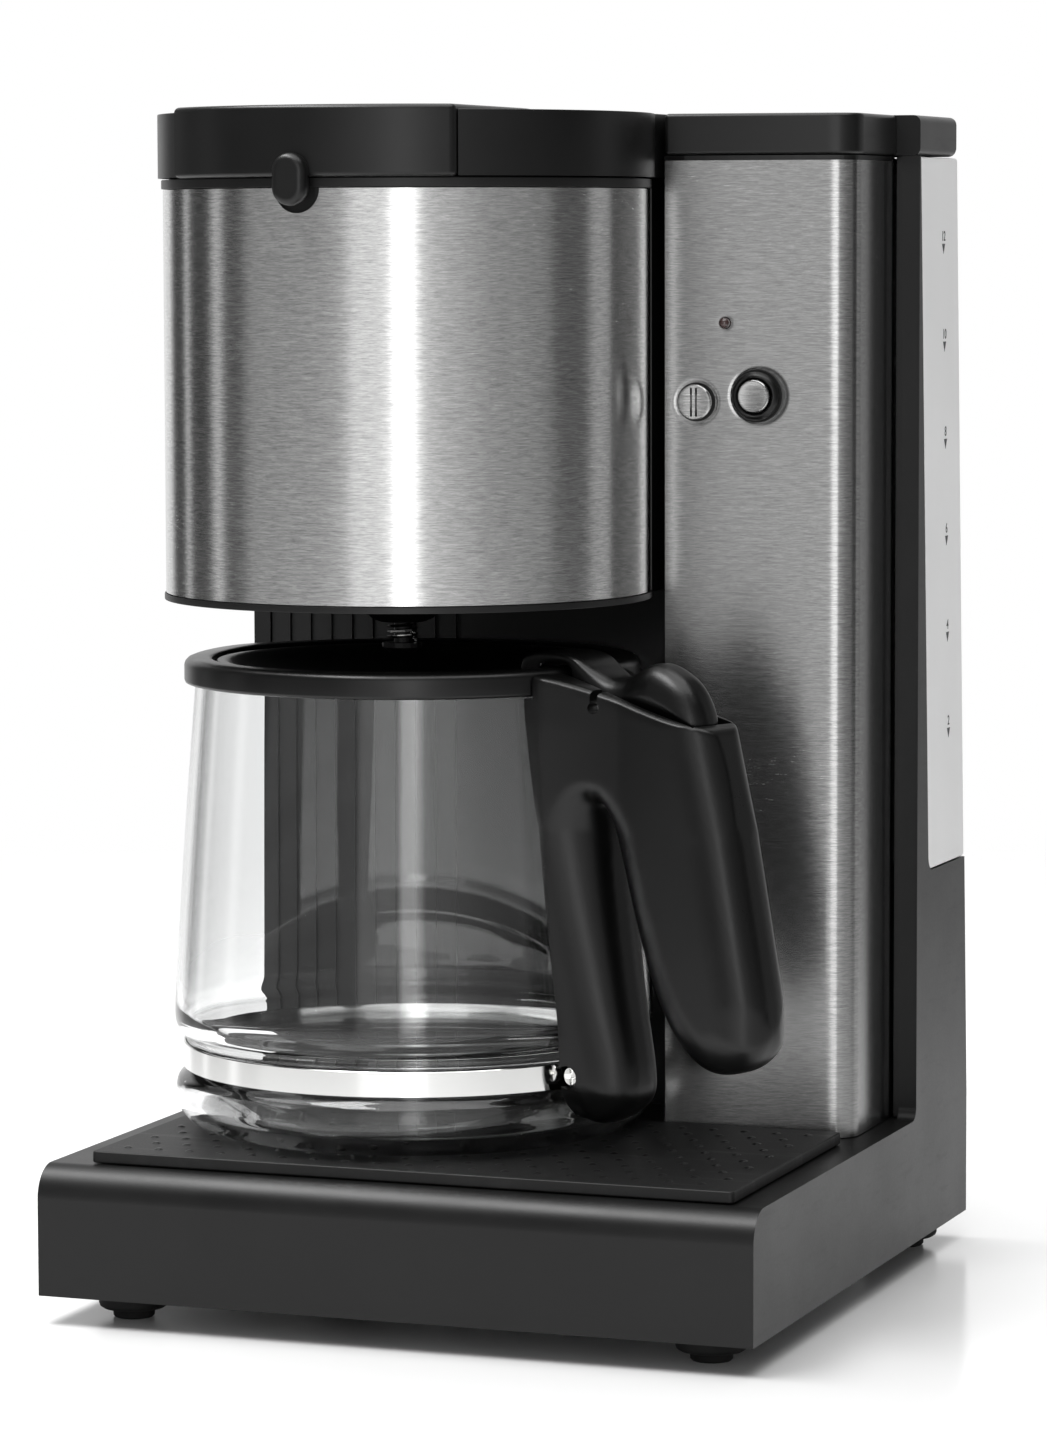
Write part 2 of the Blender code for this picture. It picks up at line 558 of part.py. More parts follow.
def make_controls():
    front = TOWER_FRONT
    bezel = lathe([(BUTTON_RADIUS + GAP, front - 1.2), (BEZEL_RADIUS - 1.2, front - 1.4), (BEZEL_RADIUS, front - 0.2),
                   (BEZEL_RADIUS, front + 8), (BUTTON_RADIUS + GAP, front + 8)], BUTTON_X, BUTTON_Z, 24, axis="y")
    add("button_bezel", bezel)
    button = lathe([(0, front - 1.8), (BUTTON_RADIUS - 0.8, front - 1.8), (BUTTON_RADIUS, front - 1.0),
                    (BUTTON_RADIUS, front + 8.3), (BUTTON_RADIUS + 1.6, front + 8.3),
                    (BUTTON_RADIUS + 1.6, front + 9.8), (0, front + 9.8)], BUTTON_X, BUTTON_Z, 20, axis="y")
    add("power_button", button, STEEL, 0.3, 1.0, origin=world(BUTTON_X, front, BUTTON_Z))
    behind = front + 9.8 + BUTTON_TRAVEL + GAP
    switch = block(BUTTON_X - 8, BUTTON_X + 8, behind, behind + 12, BUTTON_Z - 9, BUTTON_Z + 9)
    bevel(add("switch_block", switch, (0.08, 0.08, 0.08, 1), 0.6), 0.6, 1)
    knob = lathe([(0, front - 2.6), (KNOB_RADIUS - 0.6, front - 2.6), (KNOB_RADIUS, front - 2.0),
                  (KNOB_RADIUS, front - 0.2), (2.5, front - 0.2), (2.5, front + 11), (0, front + 11)],
                 KNOB_X, KNOB_Z, 24, axis="y")
    made = add("selector_knob", knob, STEEL, 0.35, 1.0, origin=world(KNOB_X, front, KNOB_Z))
    boolean(made, block(KNOB_X - 0.8, KNOB_X + 0.8, front - 4, front - 1.4, KNOB_Z - 4.2, KNOB_Z + 4.2))
    selector = block(KNOB_X - 6, KNOB_X + 6, front + 11 + GAP, front + 21, KNOB_Z - 9, KNOB_Z + 9)
    bevel(add("selector_block", selector, (0.08, 0.08, 0.08, 1), 0.6), 0.6, 1)
    lamp = lathe([(0, front - 0.1), (LAMP_RADIUS * 0.7, front + 0.1), (LAMP_RADIUS, front + 0.7),
                  (LAMP_RADIUS, front + 8), (0, front + 8)], LAMP_X, LAMP_Z, 16, axis="y")
    add("lamp_lens", lamp, (0.25, 0.05, 0.04, 1), 0.25)
    board = block(KNOB_X - 7, BUTTON_X + 14, behind + 12.4, behind + 14, KNOB_Z - 25, LAMP_Z + 12)
    add("circuit_board", board, (0.05, 0.18, 0.08, 1), 0.6)


# ---------------------------------------------------------------- head


def make_head():
    inner_radius = DRUM_RADIUS - SHEET - 0.9
    reach = inner_radius * math.cos(math.radians(HEAD_TURN))
    left, right = HEAD_X - reach, HEAD_X + reach
    high = HEAD_COVER_BOTTOM - GAP
    grow = inner_radius - DRUM_RADIUS
    rear = UPRIGHT_FRONT + 1 - GAP
    housing = add("head_housing", prism(head_outline(grow, left, right, rear), HEAD_BOTTOM, high))
    hollow = head_outline(grow - WALL, left + WALL, right - WALL, rear - WALL)
    boolean(housing, prism(hollow, HEAD_BOTTOM + WALL, high + 5))
    boolean(housing, post(BASKET_X, BASKET_Y, BASKET_NECK + 1.2, HEAD_BOTTOM - 5, HEAD_BOTTOM + 10, 32))
    start = HEAD_TURN - 5
    end = -180 - start
    frame = add("drum_frame", ring_sector(inner_radius + GAP, DRUM_RADIUS + 0.5, start + 3, end - 3,
                                          HEAD_BOTTOM - 0.5, HEAD_COVER_BOTTOM - GAP - 0.2))
    boolean(frame, ring_sector(inner_radius - 2, DRUM_RADIUS + 3, start, end, HEAD_BOTTOM + DRUM_LIP, DRUM_TOP))
    steel = add("drum_steel", ring_sector(DRUM_RADIUS - SHEET, DRUM_RADIUS, start - 0.3, end + 0.3,
                                          HEAD_BOTTOM + DRUM_LIP + GAP, DRUM_TOP - GAP, 36), STEEL, 0.3, 1.0)
    notch = prism(arc(flap_centre(), HEAD_COVER_BOTTOM - 3.7, 7.4, 0, 348, 29), -10, 60, "y")
    boolean(steel, notch)
    notch = prism(arc(flap_centre(), HEAD_COVER_BOTTOM - 3.7, 6.6, 0, 348, 29), -10, 17.4, "y")
    boolean(frame, notch)


def make_basket():
    """A cone that drops into the head, its neck through the floor, with the drip stop in its bottom."""
    neck, wall = BASKET_NECK, 2.0
    floor = HEAD_BOTTOM - 8
    shoulder = HEAD_BOTTOM + WALL + GAP
    rim = TOWER_HEIGHT - 14.0
    outer = [(DRIP_HOLE, floor), (7.0, floor), (9.5, floor + 1), (neck - 1, floor + 7), (neck, HEAD_BOTTOM),
             (neck, shoulder), (neck + 4, shoulder), (BASKET_RADIUS - 5, rim - 34), (BASKET_RADIUS - 3, rim - 4),
             (BASKET_RADIUS, rim - 2), (BASKET_RADIUS, rim)]
    inner = [(BASKET_RADIUS - 3 - wall, rim), (BASKET_RADIUS - 5 - wall, rim - 34), (neck + 4 - wall, shoulder + 4),
             (neck - wall, shoulder), (neck - wall - 1, floor + 8), (9.5 - wall, floor + 2.5),
             (DRIP_HOLE, floor + 2.5)]
    add("filter_basket", lathe(outer + inner, BASKET_X, BASKET_Y, 24), origin=world(BASKET_X, BASKET_Y, floor))
    seat = floor + 2.5 + GAP
    stem = DRIP_HOLE - 0.6
    stop = lathe([(0, floor - 9.5), (4.2, floor - 9.5), (6.4, floor - 8), (6.4, floor - 6.5), (stem, floor - 6.5),
                  (stem, seat), (6.2, seat), (6.2, seat + 1.6), (0, seat + 1.6)], BASKET_X, BASKET_Y, 16)
    add("drip_stop", stop, (0.05, 0.05, 0.05, 1), 0.4, origin=world(BASKET_X, BASKET_Y, seat))
    turns, coil, wire = 3, 4.4, 0.45
    low, high = floor - 6.5 + GAP + wire, floor - GAP - wire
    path = []
    for i in range(turns * 12 + 1):
        a = 2 * math.pi * i / 12
        path.append((BASKET_X + coil * math.cos(a), BASKET_Y + coil * math.sin(a),
                     low + (high - low) * i / (turns * 12)))
    tube("drip_spring", path, wire, STEEL, 0.3, 1.0, sides=1)


# ---------------------------------------------------------------- carafe


def glass_profile():
    low = PLATE_TOP + GAP
    outer = [(0, low + 1.2), (52, low + 1.2), (60, low), (68, low + 1.0), (73, low + 4), (75.2, low + 8),
             (75.4, low + 12), (74.4, low + 16), (WAIST_RADIUS, low + 18.6), (WAIST_RADIUS, low + 28.6),
             (74.0, low + 30.4), (75.4, low + 33)]
    for z in (84, 105, 130, 155, 175, MOUTH_HEIGHT - 1):
        outer.append((glass_radius(z), z))
    outer.append((MOUTH_RADIUS - 1.2, MOUTH_HEIGHT))
    inner = [(MOUTH_RADIUS - GLASS, MOUTH_HEIGHT - 1)]
    for z in (155, 120, 84):
        inner.append((glass_radius(z) - GLASS, z))
    inner += [(75.4 - GLASS, low + 34), (WAIST_RADIUS - GLASS, low + 29), (WAIST_RADIUS - GLASS, low + 18),
              (74.4 - GLASS, low + 13), (72.5, low + 8), (68, low + 4.2), (60, low + 3.4), (0, low + 3.8)]
    return outer + inner


def make_collar():
    """The black rim on the glass, drawn out to a pouring spout opposite the handle."""
    rim = glass_radius(COLLAR_BOTTOM) + 0.5
    profile = [(rim, COLLAR_BOTTOM), (COLLAR_RADIUS - 0.6, COLLAR_BOTTOM), (COLLAR_RADIUS, COLLAR_BOTTOM + 1),
               (COLLAR_RADIUS, COLLAR_TOP - 2.2), (COLLAR_RADIUS - 0.8, COLLAR_TOP - 0.6),
               (COLLAR_RADIUS - 2.4, COLLAR_TOP), (COLLAR_BORE + 1.5, COLLAR_TOP), (COLLAR_BORE, COLLAR_TOP - 1.4),
               (COLLAR_BORE, COLLAR_TOP - 4.6), (MOUTH_RADIUS - GLASS - 0.5, COLLAR_TOP - 4.8),
               (MOUTH_RADIUS - GLASS - 0.4, MOUTH_HEIGHT + 0.4), (rim, MOUTH_HEIGHT + 0.4)]
    mesh = lathe(profile, CARAFE_X, CARAFE_Y, 36)
    centre = world(CARAFE_X, CARAFE_Y, 0)
    spout = math.radians(HANDLE_ANGLE + 180)
    for vert in mesh.verts:
        dx, dy = vert.co.x - centre.x, vert.co.y - centre.y
        radius = math.hypot(dx, dy)
        turn = math.atan2(dy, dx) - spout
        turn = math.atan2(math.sin(turn), math.cos(turn))
        high = (vert.co.z / MM - FOOT_HEIGHT) > MOUTH_HEIGHT + 0.5
        outside = radius > (rim + 0.3) * MM
        if high or outside:
            reach = SPOUT_REACH * MM * math.exp(-(turn / 0.3) ** 2)
            vert.co.x += dx / radius * reach
            vert.co.y += dy / radius * reach
    add("carafe_collar", mesh)


def mounting_plate():
    """The part of the handle that lies along the glass, wide at the top and narrow at the bottom."""
    mesh = bmesh.new()
    rows, columns = 9, 8
    sheets = []
    for extra in (0.5, 3.6):
        grid = []
        for k in range(rows + 1):
            share = k / rows
            z = 56.0 + (COLLAR_BOTTOM - 0.8 - 56.0) * share
            wide = math.radians(11.5 + 6.0 * share)
            radius = max(glass_radius(z), CARAFE_RADIUS if z < 84 else 0) + extra
            line = []
            for i in range(columns + 1):
                a = -wide + 2 * wide * i / columns
                line.append(mesh.verts.new(handle_spot(radius * math.cos(a), radius * math.sin(a), z)))
            grid.append(line)
        sheets.append(grid)
    for grid in sheets:
        for k in range(rows):
            for i in range(columns):
                mesh.faces.new((grid[k][i], grid[k][i + 1], grid[k + 1][i + 1], grid[k + 1][i]))
    a, b = sheets
    for k in range(rows):
        for i in (0, columns):
            mesh.faces.new((a[k][i], a[k + 1][i], b[k + 1][i], b[k][i]))
    for i in range(columns):
        for k in (0, rows):
            mesh.faces.new((a[k][i], a[k][i + 1], b[k][i + 1], b[k][i]))
    return mesh


def make_handle():
    """A hook: a bar along the glass, an arch over the fingers and a grip that leans outward."""
    inside = COLLAR_RADIUS + 0.7
    outline = [(77.0, 54.0), (84.0, 53.5), (94.0, 60.0), (95.0, 70.0), (90.5, 93.0), (86.5, 122.0), (84.5, 146.0)]
    outline += [(85.2, 152.5), (88.0, 150.0), (91.0, 139.0), (97.0, 118.0), (103.5, 99.5), (110.5, 86.0),
                (119.0, 77.0), (128.0, 73.5), (138.0, 75.5), (145.2, 82.0), (145.5, 92.8), (141.3, 116.7),
                (133.8, 152.9), (127.4, 177.0), (121.0, 177.4), (104.0, 181.5), (84.7, 187.2), (inside, 190.4),
                (inside, 183.0), (77.0, 180.0)]
    handle = add("carafe_handle", handle_prism(outline, HANDLE_WIDTH / 2))
    bevel(handle, 3.2, 2, 25)
    boolean(handle, mounting_plate(), "UNION")
    half = LEVER_WIDTH / 2 + 0.6
    pocket = [(60.0, 178.2), (84.0, 174.0), (96.0, 171.0), (123.5, 165.0), (123.5, 200.0), (60.0, 200.0)]
    boolean(handle, handle_prism(pocket, half))
    boolean(handle, handle_rod(PIN_REACH, PIN_HEIGHT, 1.75, -9.6, 11.8))
    add("carafe_lid_pin", handle_rod(PIN_REACH, PIN_HEIGHT, 1.6, -9.2, 11.4), STEEL, 0.3, 1.0)
    boolean(handle, handle_rod(76.9, 68.2, 1.9, 4.5, 20))
    boolean(handle, handle_rod(76.9, 68.2, 3.4, 11.8, 20))
    screw = handle_rod(76.9, 68.2, 1.6, 5.0, 12.6)
    made = add("strap_screw", screw, STEEL, 0.25, 1.0)
    boolean(made, handle_rod(76.9, 68.2, 3.0, 12.2, 13.4), "UNION")


def make_strap():
    low = PLATE_TOP + GAP + 19.4
    inner, outer = WAIST_RADIUS + 0.25, WAIST_RADIUS + 0.95
    ring = lathe([(inner, low), (outer, low), (outer, low + 8.0), (inner, low + 8.0)], CARAFE_X, CARAFE_Y, 36)
    add("carafe_strap", ring, (0.8, 0.8, 0.8, 1), 0.12, 1.0)


def make_carafe_lid():
    """A dished disc inside the collar, with a thumb lever that reaches over the handle."""
    origin = handle_spot(PIN_REACH, 0, PIN_HEIGHT)
    radius = COLLAR_BORE - 1.0
    top = COLLAR_TOP
    disc = [(4.0, top - 9.5), (radius - 12, top - 8.6), (radius - 4, top - 4.4), (radius - 0.8, top - 4.0),
            (radius, top - 3.2), (radius, top - 1.2), (radius - 3, top - 1.0), (radius - 6, top - 2.4),
            (radius - 14, top - 6.6), (4.0, top - 7.5)]
    lid = add("carafe_lid", lathe(disc, CARAFE_X, CARAFE_Y, 32), origin=origin)
    lever = [(50.0, top - 5.0), (56.0, top - 4.0), (radius - 0.3, top - 3.0), (radius - 0.3, top + 0.7),
             (COLLAR_RADIUS + 1.5, top + 0.7), (COLLAR_RADIUS + 2.6, 184.0), (82.5, 179.6), (88.0, 177.6),
             (93.0, 178.6), (100.0, 178.0), (118.0, 174.5), (121.5, 176.5), (119.8, 183.0), (114.0, 190.2),
             (108.0, 193.6), (102.0, 194.4), (96.0, 192.0), (91.0, 189.6), (86.0, 189.4), (80.0, 192.4),
             (74.0, 195.6), (66.0, 197.0), (58.0, 196.4), (52.0, 193.6), (49.0, 189.0)]
    boolean(lid, handle_prism(lever, LEVER_WIDTH / 2), "UNION")
    boolean(lid, handle_rod(PIN_REACH, PIN_HEIGHT, 1.7, -15, 15))


make_base()
make_side_panel("side_panel_right", 1)
make_side_panel("side_panel_left", -1)
make_feet()
make_heater()
make_tower()
make_rear_housing()
make_back_cover()
make_tank()
make_lids()
make_controls()
make_head()
make_basket()
add("carafe_glass", lathe(glass_profile(), CARAFE_X, CARAFE_Y, 36), (0.9, 0.95, 0.95, 0.3), 0.05)
make_collar()
make_handle()
make_strap()
make_carafe_lid()
bpy.context.view_layer.update()
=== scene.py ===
import json
from math import acos, atan2, cos, degrees, exp, hypot, pi, radians, sin, sqrt

import bmesh
import bpy
import numpy as np
from mathutils import Matrix, Vector


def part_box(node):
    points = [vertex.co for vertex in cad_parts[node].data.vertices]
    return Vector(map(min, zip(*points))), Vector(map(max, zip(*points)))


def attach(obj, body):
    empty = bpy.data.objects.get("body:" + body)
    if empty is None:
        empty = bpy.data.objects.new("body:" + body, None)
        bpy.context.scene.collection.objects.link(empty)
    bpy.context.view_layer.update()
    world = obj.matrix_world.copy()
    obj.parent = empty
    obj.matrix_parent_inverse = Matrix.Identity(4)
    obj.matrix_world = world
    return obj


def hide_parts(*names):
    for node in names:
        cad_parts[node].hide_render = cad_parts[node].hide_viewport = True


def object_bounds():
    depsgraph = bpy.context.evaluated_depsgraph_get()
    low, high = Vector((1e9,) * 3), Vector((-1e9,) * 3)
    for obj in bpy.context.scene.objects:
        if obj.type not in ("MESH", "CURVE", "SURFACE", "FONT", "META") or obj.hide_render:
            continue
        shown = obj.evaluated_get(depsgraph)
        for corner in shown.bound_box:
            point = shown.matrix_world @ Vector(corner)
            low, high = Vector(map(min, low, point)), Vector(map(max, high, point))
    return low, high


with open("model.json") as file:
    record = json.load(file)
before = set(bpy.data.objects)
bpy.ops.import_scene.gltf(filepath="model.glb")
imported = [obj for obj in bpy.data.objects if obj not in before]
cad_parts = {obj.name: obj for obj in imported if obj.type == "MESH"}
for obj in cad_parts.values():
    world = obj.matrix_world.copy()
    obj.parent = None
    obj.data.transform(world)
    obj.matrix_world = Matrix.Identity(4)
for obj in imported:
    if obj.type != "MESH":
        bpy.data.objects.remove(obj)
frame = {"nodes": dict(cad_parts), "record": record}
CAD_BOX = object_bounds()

# Sizes below are millimetres in the plan: X from the middle, Y back from the base's front, Z up from its bottom edge.
MM = 0.001
FRONT = CAD_BOX[0].y
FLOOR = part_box("base_shell")[0].z


def edges_of(node):
    """A CAD node's lowest and highest corner, in plan millimetres."""
    low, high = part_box(node)
    return tuple(Vector((p.x / MM, (p.y - FRONT) / MM, (p.z - FLOOR) / MM)) for p in (low, high))


def centre_of(node):
    return tuple((a + b) / 2 for a, b in zip(*edges_of(node)))


BASE_LOW, BASE_HIGH = edges_of("base_shell")
CHEEK_HIGH = edges_of("side_panel_right")[1]
PLATE_LOW, PLATE_HIGH = edges_of("warming_plate")
PANEL_LOW, PANEL_HIGH = edges_of("steel_panel")
DRUM_LOW, DRUM_HIGH = edges_of("drum_steel")
RIM_LOW, RIM_HIGH = edges_of("drum_frame")
COVER_LOW, COVER_HIGH = edges_of("head_cover")
FLAP_LOW, FLAP_HIGH = edges_of("head_lid")
CAP_LOW = edges_of("tower_lid")[0]
TANKCAP_LOW, TANKCAP_HIGH = edges_of("tank_lid")
WINDOW_LOW, WINDOW_HIGH = edges_of("tank_window")
GLASS_LOW, GLASS_HIGH = edges_of("carafe_glass")
COLLAR_LOW, COLLAR_HIGH = edges_of("carafe_collar")
STRAP_LOW, STRAP_HIGH = edges_of("carafe_strap")

GAP = 0.3
SHEET = 0.9
WALL = 2.5
INNER = BASE_HIGH.x + GAP
HALF = CHEEK_HIGH.x
BASE_DEPTH = CHEEK_HIGH.y - 0.002
BASE_HEIGHT = BASE_HIGH.z
TOWER_HEIGHT = CHEEK_HIGH.z
TOP = COVER_HIGH.z
UPRIGHT = TANKCAP_LOW.y - GAP
TOWER_LEFT = PANEL_LOW.x
TOWER_FRONT = PANEL_LOW.y
FRONT_RADIUS = 400.0
TOWER_CORNER = 8.0
TOWER_SIDE = PANEL_HIGH.x
TANK_LEFT = TANKCAP_LOW.x + 0.4
HEAD_X = centre_of("drum_steel")[0]
DRUM_RADIUS = (DRUM_HIGH.x - DRUM_LOW.x) / 2
HEAD_Y = DRUM_LOW.y + DRUM_RADIUS
CARAFE_X, CARAFE_Y, _ = centre_of("carafe_strap")
HANDLE_ANGLE = radians(-21.5)
BUTTON, KNOB, LAMP = (centre_of(node)[::2] for node in ("power_button", "selector_knob", "lamp_lens"))
BEZEL_RADIUS = (edges_of("button_bezel")[1].x - edges_of("button_bezel")[0].x) / 2
FLAP_LEFT, FLAP_RIGHT = -82.0, 13.0
FLAP_CENTRE = (FLAP_LEFT + FLAP_RIGHT) / 2
FLAP_ROUND = HEAD_Y - 6
FLAP_STANDS_OUT = 3.0
FLAP_HINGE = FLAP_ROUND + (FLAP_RIGHT - FLAP_LEFT) / 2 + 3.5
BACK_LEAN = 16.0
LID_PIN = (88.0, 181.7)
STRAP_SCREW = (76.9, 68.2)
GRIP_HALF, LEVER_HALF = 13.0, 9.1
CAMERA_PLACE, CAMERA_LENS = (571, -1422, 323), 130.8
CAMERA_YAW, CAMERA_TILT, CAMERA_ROLL = (radians(a) for a in (20.33, 84.74, -0.16))


# ---------------- node graphs


def operator(operation, swapped=False):
    """A method that adds a Math node on this value and another."""
    def apply(self, other):
        first, second = (other, self) if swapped else (self, other)
        return self.graph.node("ShaderNodeMath", {"operation": operation}, {0: first, 1: second})[0]
    return apply


class Value:
    """A socket of a node graph. Arithmetic on it adds Math nodes."""

    def __init__(self, graph, socket):
        self.graph = graph
        self.socket = socket

    __add__, __radd__ = operator("ADD"), operator("ADD", True)
    __sub__, __rsub__ = operator("SUBTRACT"), operator("SUBTRACT", True)
    __mul__, __rmul__ = operator("MULTIPLY"), operator("MULTIPLY", True)
    __truediv__ = operator("DIVIDE")
    __mod__ = operator("MODULO")

    def between(self, low, high, first=0.0, last=1.0):
        """This value's place between low and high, spread over first to last and held there."""
        sockets = {"Value": self, "From Min": low, "From Max": high, "To Min": first, "To Max": last}
        return self.graph.node("ShaderNodeMapRange", {"clamp": True}, sockets)["Result"]


class Made:
    """A node just added: its outputs by number or name."""

    def __init__(self, graph, node):
        self.graph = graph
        self.raw = node

    def __getitem__(self, key):
        return Value(self.graph, self.raw.outputs[key])


class Graph:
    """A node tree and short ways to add to it."""

    def __init__(self, tree):
        self.tree = tree

    def node(self, kind, settings=None, sockets=None):
        """Add a node: its settings first, then a value or a link for each socket."""
        made = self.tree.nodes.new(kind)
        for key, value in (settings or {}).items():
            if key == "stops":
                ramp = made.color_ramp
                while len(ramp.elements) < len(value):
                    ramp.elements.new(1.0)
                for element, (place, colour) in zip(ramp.elements, value):
                    element.position = place
                    element.color = colour if len(colour) == 4 else (*colour, 1)
            else:
                setattr(made, key, value)
        for key, value in (sockets or {}).items():
            if isinstance(value, Value):
                self.tree.links.new(value.socket, made.inputs[key])
            else:
                made.inputs[key].default_value = value
        return Made(self, made)

    def noise(self, place, scale, detail=2.0, roughness=0.5):
        sockets = {"Vector": place, "Scale": scale, "Detail": detail, "Roughness": roughness}
        return self.node("ShaderNodeTexNoise", None, sockets)[0]

    def vector(self, operation, first, second=(0, 0, 0)):
        return self.node("ShaderNodeVectorMath", {"operation": operation}, {0: first, 1: second})["Value"]

    def mapped(self, scale=(1, 1, 1), turn=(0, 0, 0)):
        """Object coordinates, stretched and turned."""
        place = self.node("ShaderNodeTexCoord")["Object"]
        return self.node("ShaderNodeMapping", None, {"Vector": place, "Scale": scale, "Rotation": turn})[0]

    def mix(self, share, first, second):
        """A colour between two."""
        made = self.tree.nodes.new("ShaderNodeMix")
        made.data_type = "RGBA"
        for socket, value in zip((made.inputs[0], made.inputs[6], made.inputs[7]), (share, first, second)):
            if isinstance(value, Value):
                self.tree.links.new(value.socket, socket)
            else:
                socket.default_value = (*value, 1)
        return Value(self, made.outputs[2])


class Finish(Graph):
    """A material, its shader's fixed values, and ways to feed the others."""

    def __init__(self, name, colour, roughness, metallic=0.0, **fixed):
        self.material = bpy.data.materials.new(name)
        self.material.use_nodes = True
        self.material.diffuse_color = (*colour, 1)
        super().__init__(self.material.node_tree)
        self.shader = self.tree.nodes["Principled BSDF"]
        fixed.update({"Base Color": (*colour, 1), "Roughness": roughness, "Metallic": metallic})
        for key, value in fixed.items():
            self.shader.inputs[key.replace("_", " ")].default_value = value

    def feed(self, socket, value):
        self.tree.links.new(value.socket, self.shader.inputs[socket])

    def bump(self, height, distance, strength=1.0):
        sockets = {"Height": height, "Distance": distance, "Strength": strength}
        self.feed("Normal", self.node("ShaderNodeBump", None, sockets)["Normal"])


# ---------------- finishes


def moulded_black(name, tone=0.005, rough=0.38, grain=0.00002, coarse=1500.0):
    """Satin moulded plastic: fine pebble grain, faint sheen changes and a little dust."""
    look = Finish(name, (tone, tone, tone), rough, Specular_IOR_Level=0.36)
    place = look.mapped()
    fine = look.noise(place, coarse, 2.0, 0.6)
    cloud = look.noise(place, 28.0, 3.0, 0.6)
    rub = look.noise(look.mapped((9, 9, 60)), 6.0, 4.0, 0.7).between(0.55, 0.8)
    look.feed("Roughness", rough + (cloud - 0.5) * 0.14 + (fine - 0.5) * 0.08 + rub * 0.05)
    look.feed("Base Color", look.mix(cloud.between(0.35, 0.75), (tone * 0.85,) * 3, (tone * 1.3,) * 3))
    look.bump(fine, grain, 0.6)
    return look.material


def brushed_steel(name, light=0.60, rough=0.24, aniso=0.8, stretch=(200.0, 200.0, 2600.0), depth=0.000004):
    """Brushed stainless sheet. The lines run across the stretched direction."""
    look = Finish(name, (light,) * 3, rough, 1.0, Anisotropic=aniso, Anisotropic_Rotation=0.25)
    lines = look.noise(look.mapped(stretch), 1.0, 3.0, 0.65)
    hair = look.noise(look.mapped(tuple(v * 3.2 for v in stretch)), 1.0, 2.0, 0.6)
    cloud = look.noise(look.mapped(), 16.0, 2.0, 0.5)
    grain = lines * 0.6 + hair * 0.4
    dark, pale = (light * 0.68,) * 3, (light * 1.24, light * 1.24, light * 1.23)
    look.feed("Base Color", look.mix(grain.between(0.34, 0.66), dark, pale))
    look.feed("Roughness", rough + (grain - 0.5) * 0.16 + (cloud - 0.5) * 0.05)
    look.bump(grain, depth, 0.5)
    return look.material


def polished_steel(name):
    look = Finish(name, (0.78, 0.78, 0.77), 0.1, 1.0)
    place = look.mapped()
    smear = look.noise(place, 60.0, 3.0, 0.6)
    look.feed("Roughness", 0.07 + smear.between(0.3, 0.8) * 0.09)
    look.bump(look.noise(place, 400.0, 2.0), 0.000004, 0.5)
    return look.material


def clear_glass(name):
    """Blown borosilicate: clear, with the faint waviness of its wall."""
    look = Finish(name, (0.985, 0.99, 0.99), 0.0, 0.0, Transmission_Weight=1.0, IOR=1.47)
    wave = look.noise(look.mapped((1, 1, 0.35)), 26.0, 1.0, 0.4)
    smear = look.noise(look.mapped(), 18.0, 4.0, 0.65)
    look.feed("Roughness", smear.between(0.55, 0.85) * 0.03)
    look.bump(wave, 0.00018, 0.5)
    return look.material


def tank_plastic(name, tone=0.90, through=0.06):
    """Pale translucent plastic with a soft moulded surface."""
    look = Finish(name, (tone, tone, tone), 0.32, 0.0, Transmission_Weight=through, IOR=1.49)
    place = look.mapped()
    cloud = look.noise(place, 14.0, 2.0, 0.5)
    look.feed("Base Color", look.mix(cloud.between(0.3, 0.75), (tone * 0.95,) * 3, (tone * 1.04,) * 3))
    look.feed("Roughness", 0.26 + look.noise(place, 90.0, 3.0) * 0.16)
    look.bump(look.noise(place, 260.0, 2.0), 0.00002, 0.5)
    return look.material


def plate_coating(name):
    """Matt baked coating on the warming plate: sandy, with rub marks where the carafe turns."""
    look = Finish(name, (0.009, 0.009, 0.009), 0.55, Specular_IOR_Level=0.3)
    place = look.mapped()
    sand = look.noise(place, 1700.0, 3.0, 0.7)
    scuff = look.noise(look.mapped((20, 140, 20), (0, 0, 0.5)), 1.0, 5.0, 0.7).between(0.56, 0.74)
    look.feed("Base Color", look.mix(scuff, (0.007,) * 3, (0.014,) * 3))
    look.feed("Roughness", 0.50 + (sand - 0.5) * 0.2 - scuff * 0.1)
    look.bump(sand, 0.00003, 0.7)
    return look.material


def foot_rubber(name):
    look = Finish(name, (0.010, 0.010, 0.010), 0.7, Specular_IOR_Level=0.3)
    place = look.mapped()
    cloud = look.noise(place, 70.0, 4.0, 0.65)
    look.feed("Base Color", look.mix(cloud.between(0.45, 0.8), (0.007,) * 3, (0.022, 0.021, 0.020)))
    look.feed("Roughness", 0.62 + cloud * 0.25)
    look.bump(look.noise(place, 900.0, 3.0), 0.00004, 0.7)
    return look.material


def cast_metal(name):
    look = Finish(name, (0.62, 0.62, 0.63), 0.4, 1.0)
    drawn = look.noise(look.mapped((300, 12, 300)), 1.0, 3.0)
    look.feed("Roughness", 0.28 + drawn * 0.3)
    look.bump(drawn, 0.00002, 0.6)
    return look.material


def pale_silicone(name):
    look = Finish(name, (0.66, 0.66, 0.63), 0.5)
    cloud = look.noise(look.mapped(), 50.0, 3.0)
    look.feed("Base Color", look.mix(cloud, (0.55, 0.55, 0.52), (0.72, 0.72, 0.7)))
    look.feed("Roughness", 0.42 + cloud * 0.2)
    return look.material


def coated_board(name):
    look = Finish(name, (0.04, 0.15, 0.07), 0.4)
    traces = look.node("ShaderNodeTexBrick", None, {"Vector": look.mapped(), "Scale": 180.0})[1]
    look.feed("Base Color", look.mix(traces, (0.03, 0.12, 0.05), (0.06, 0.2, 0.09)))
    return look.material


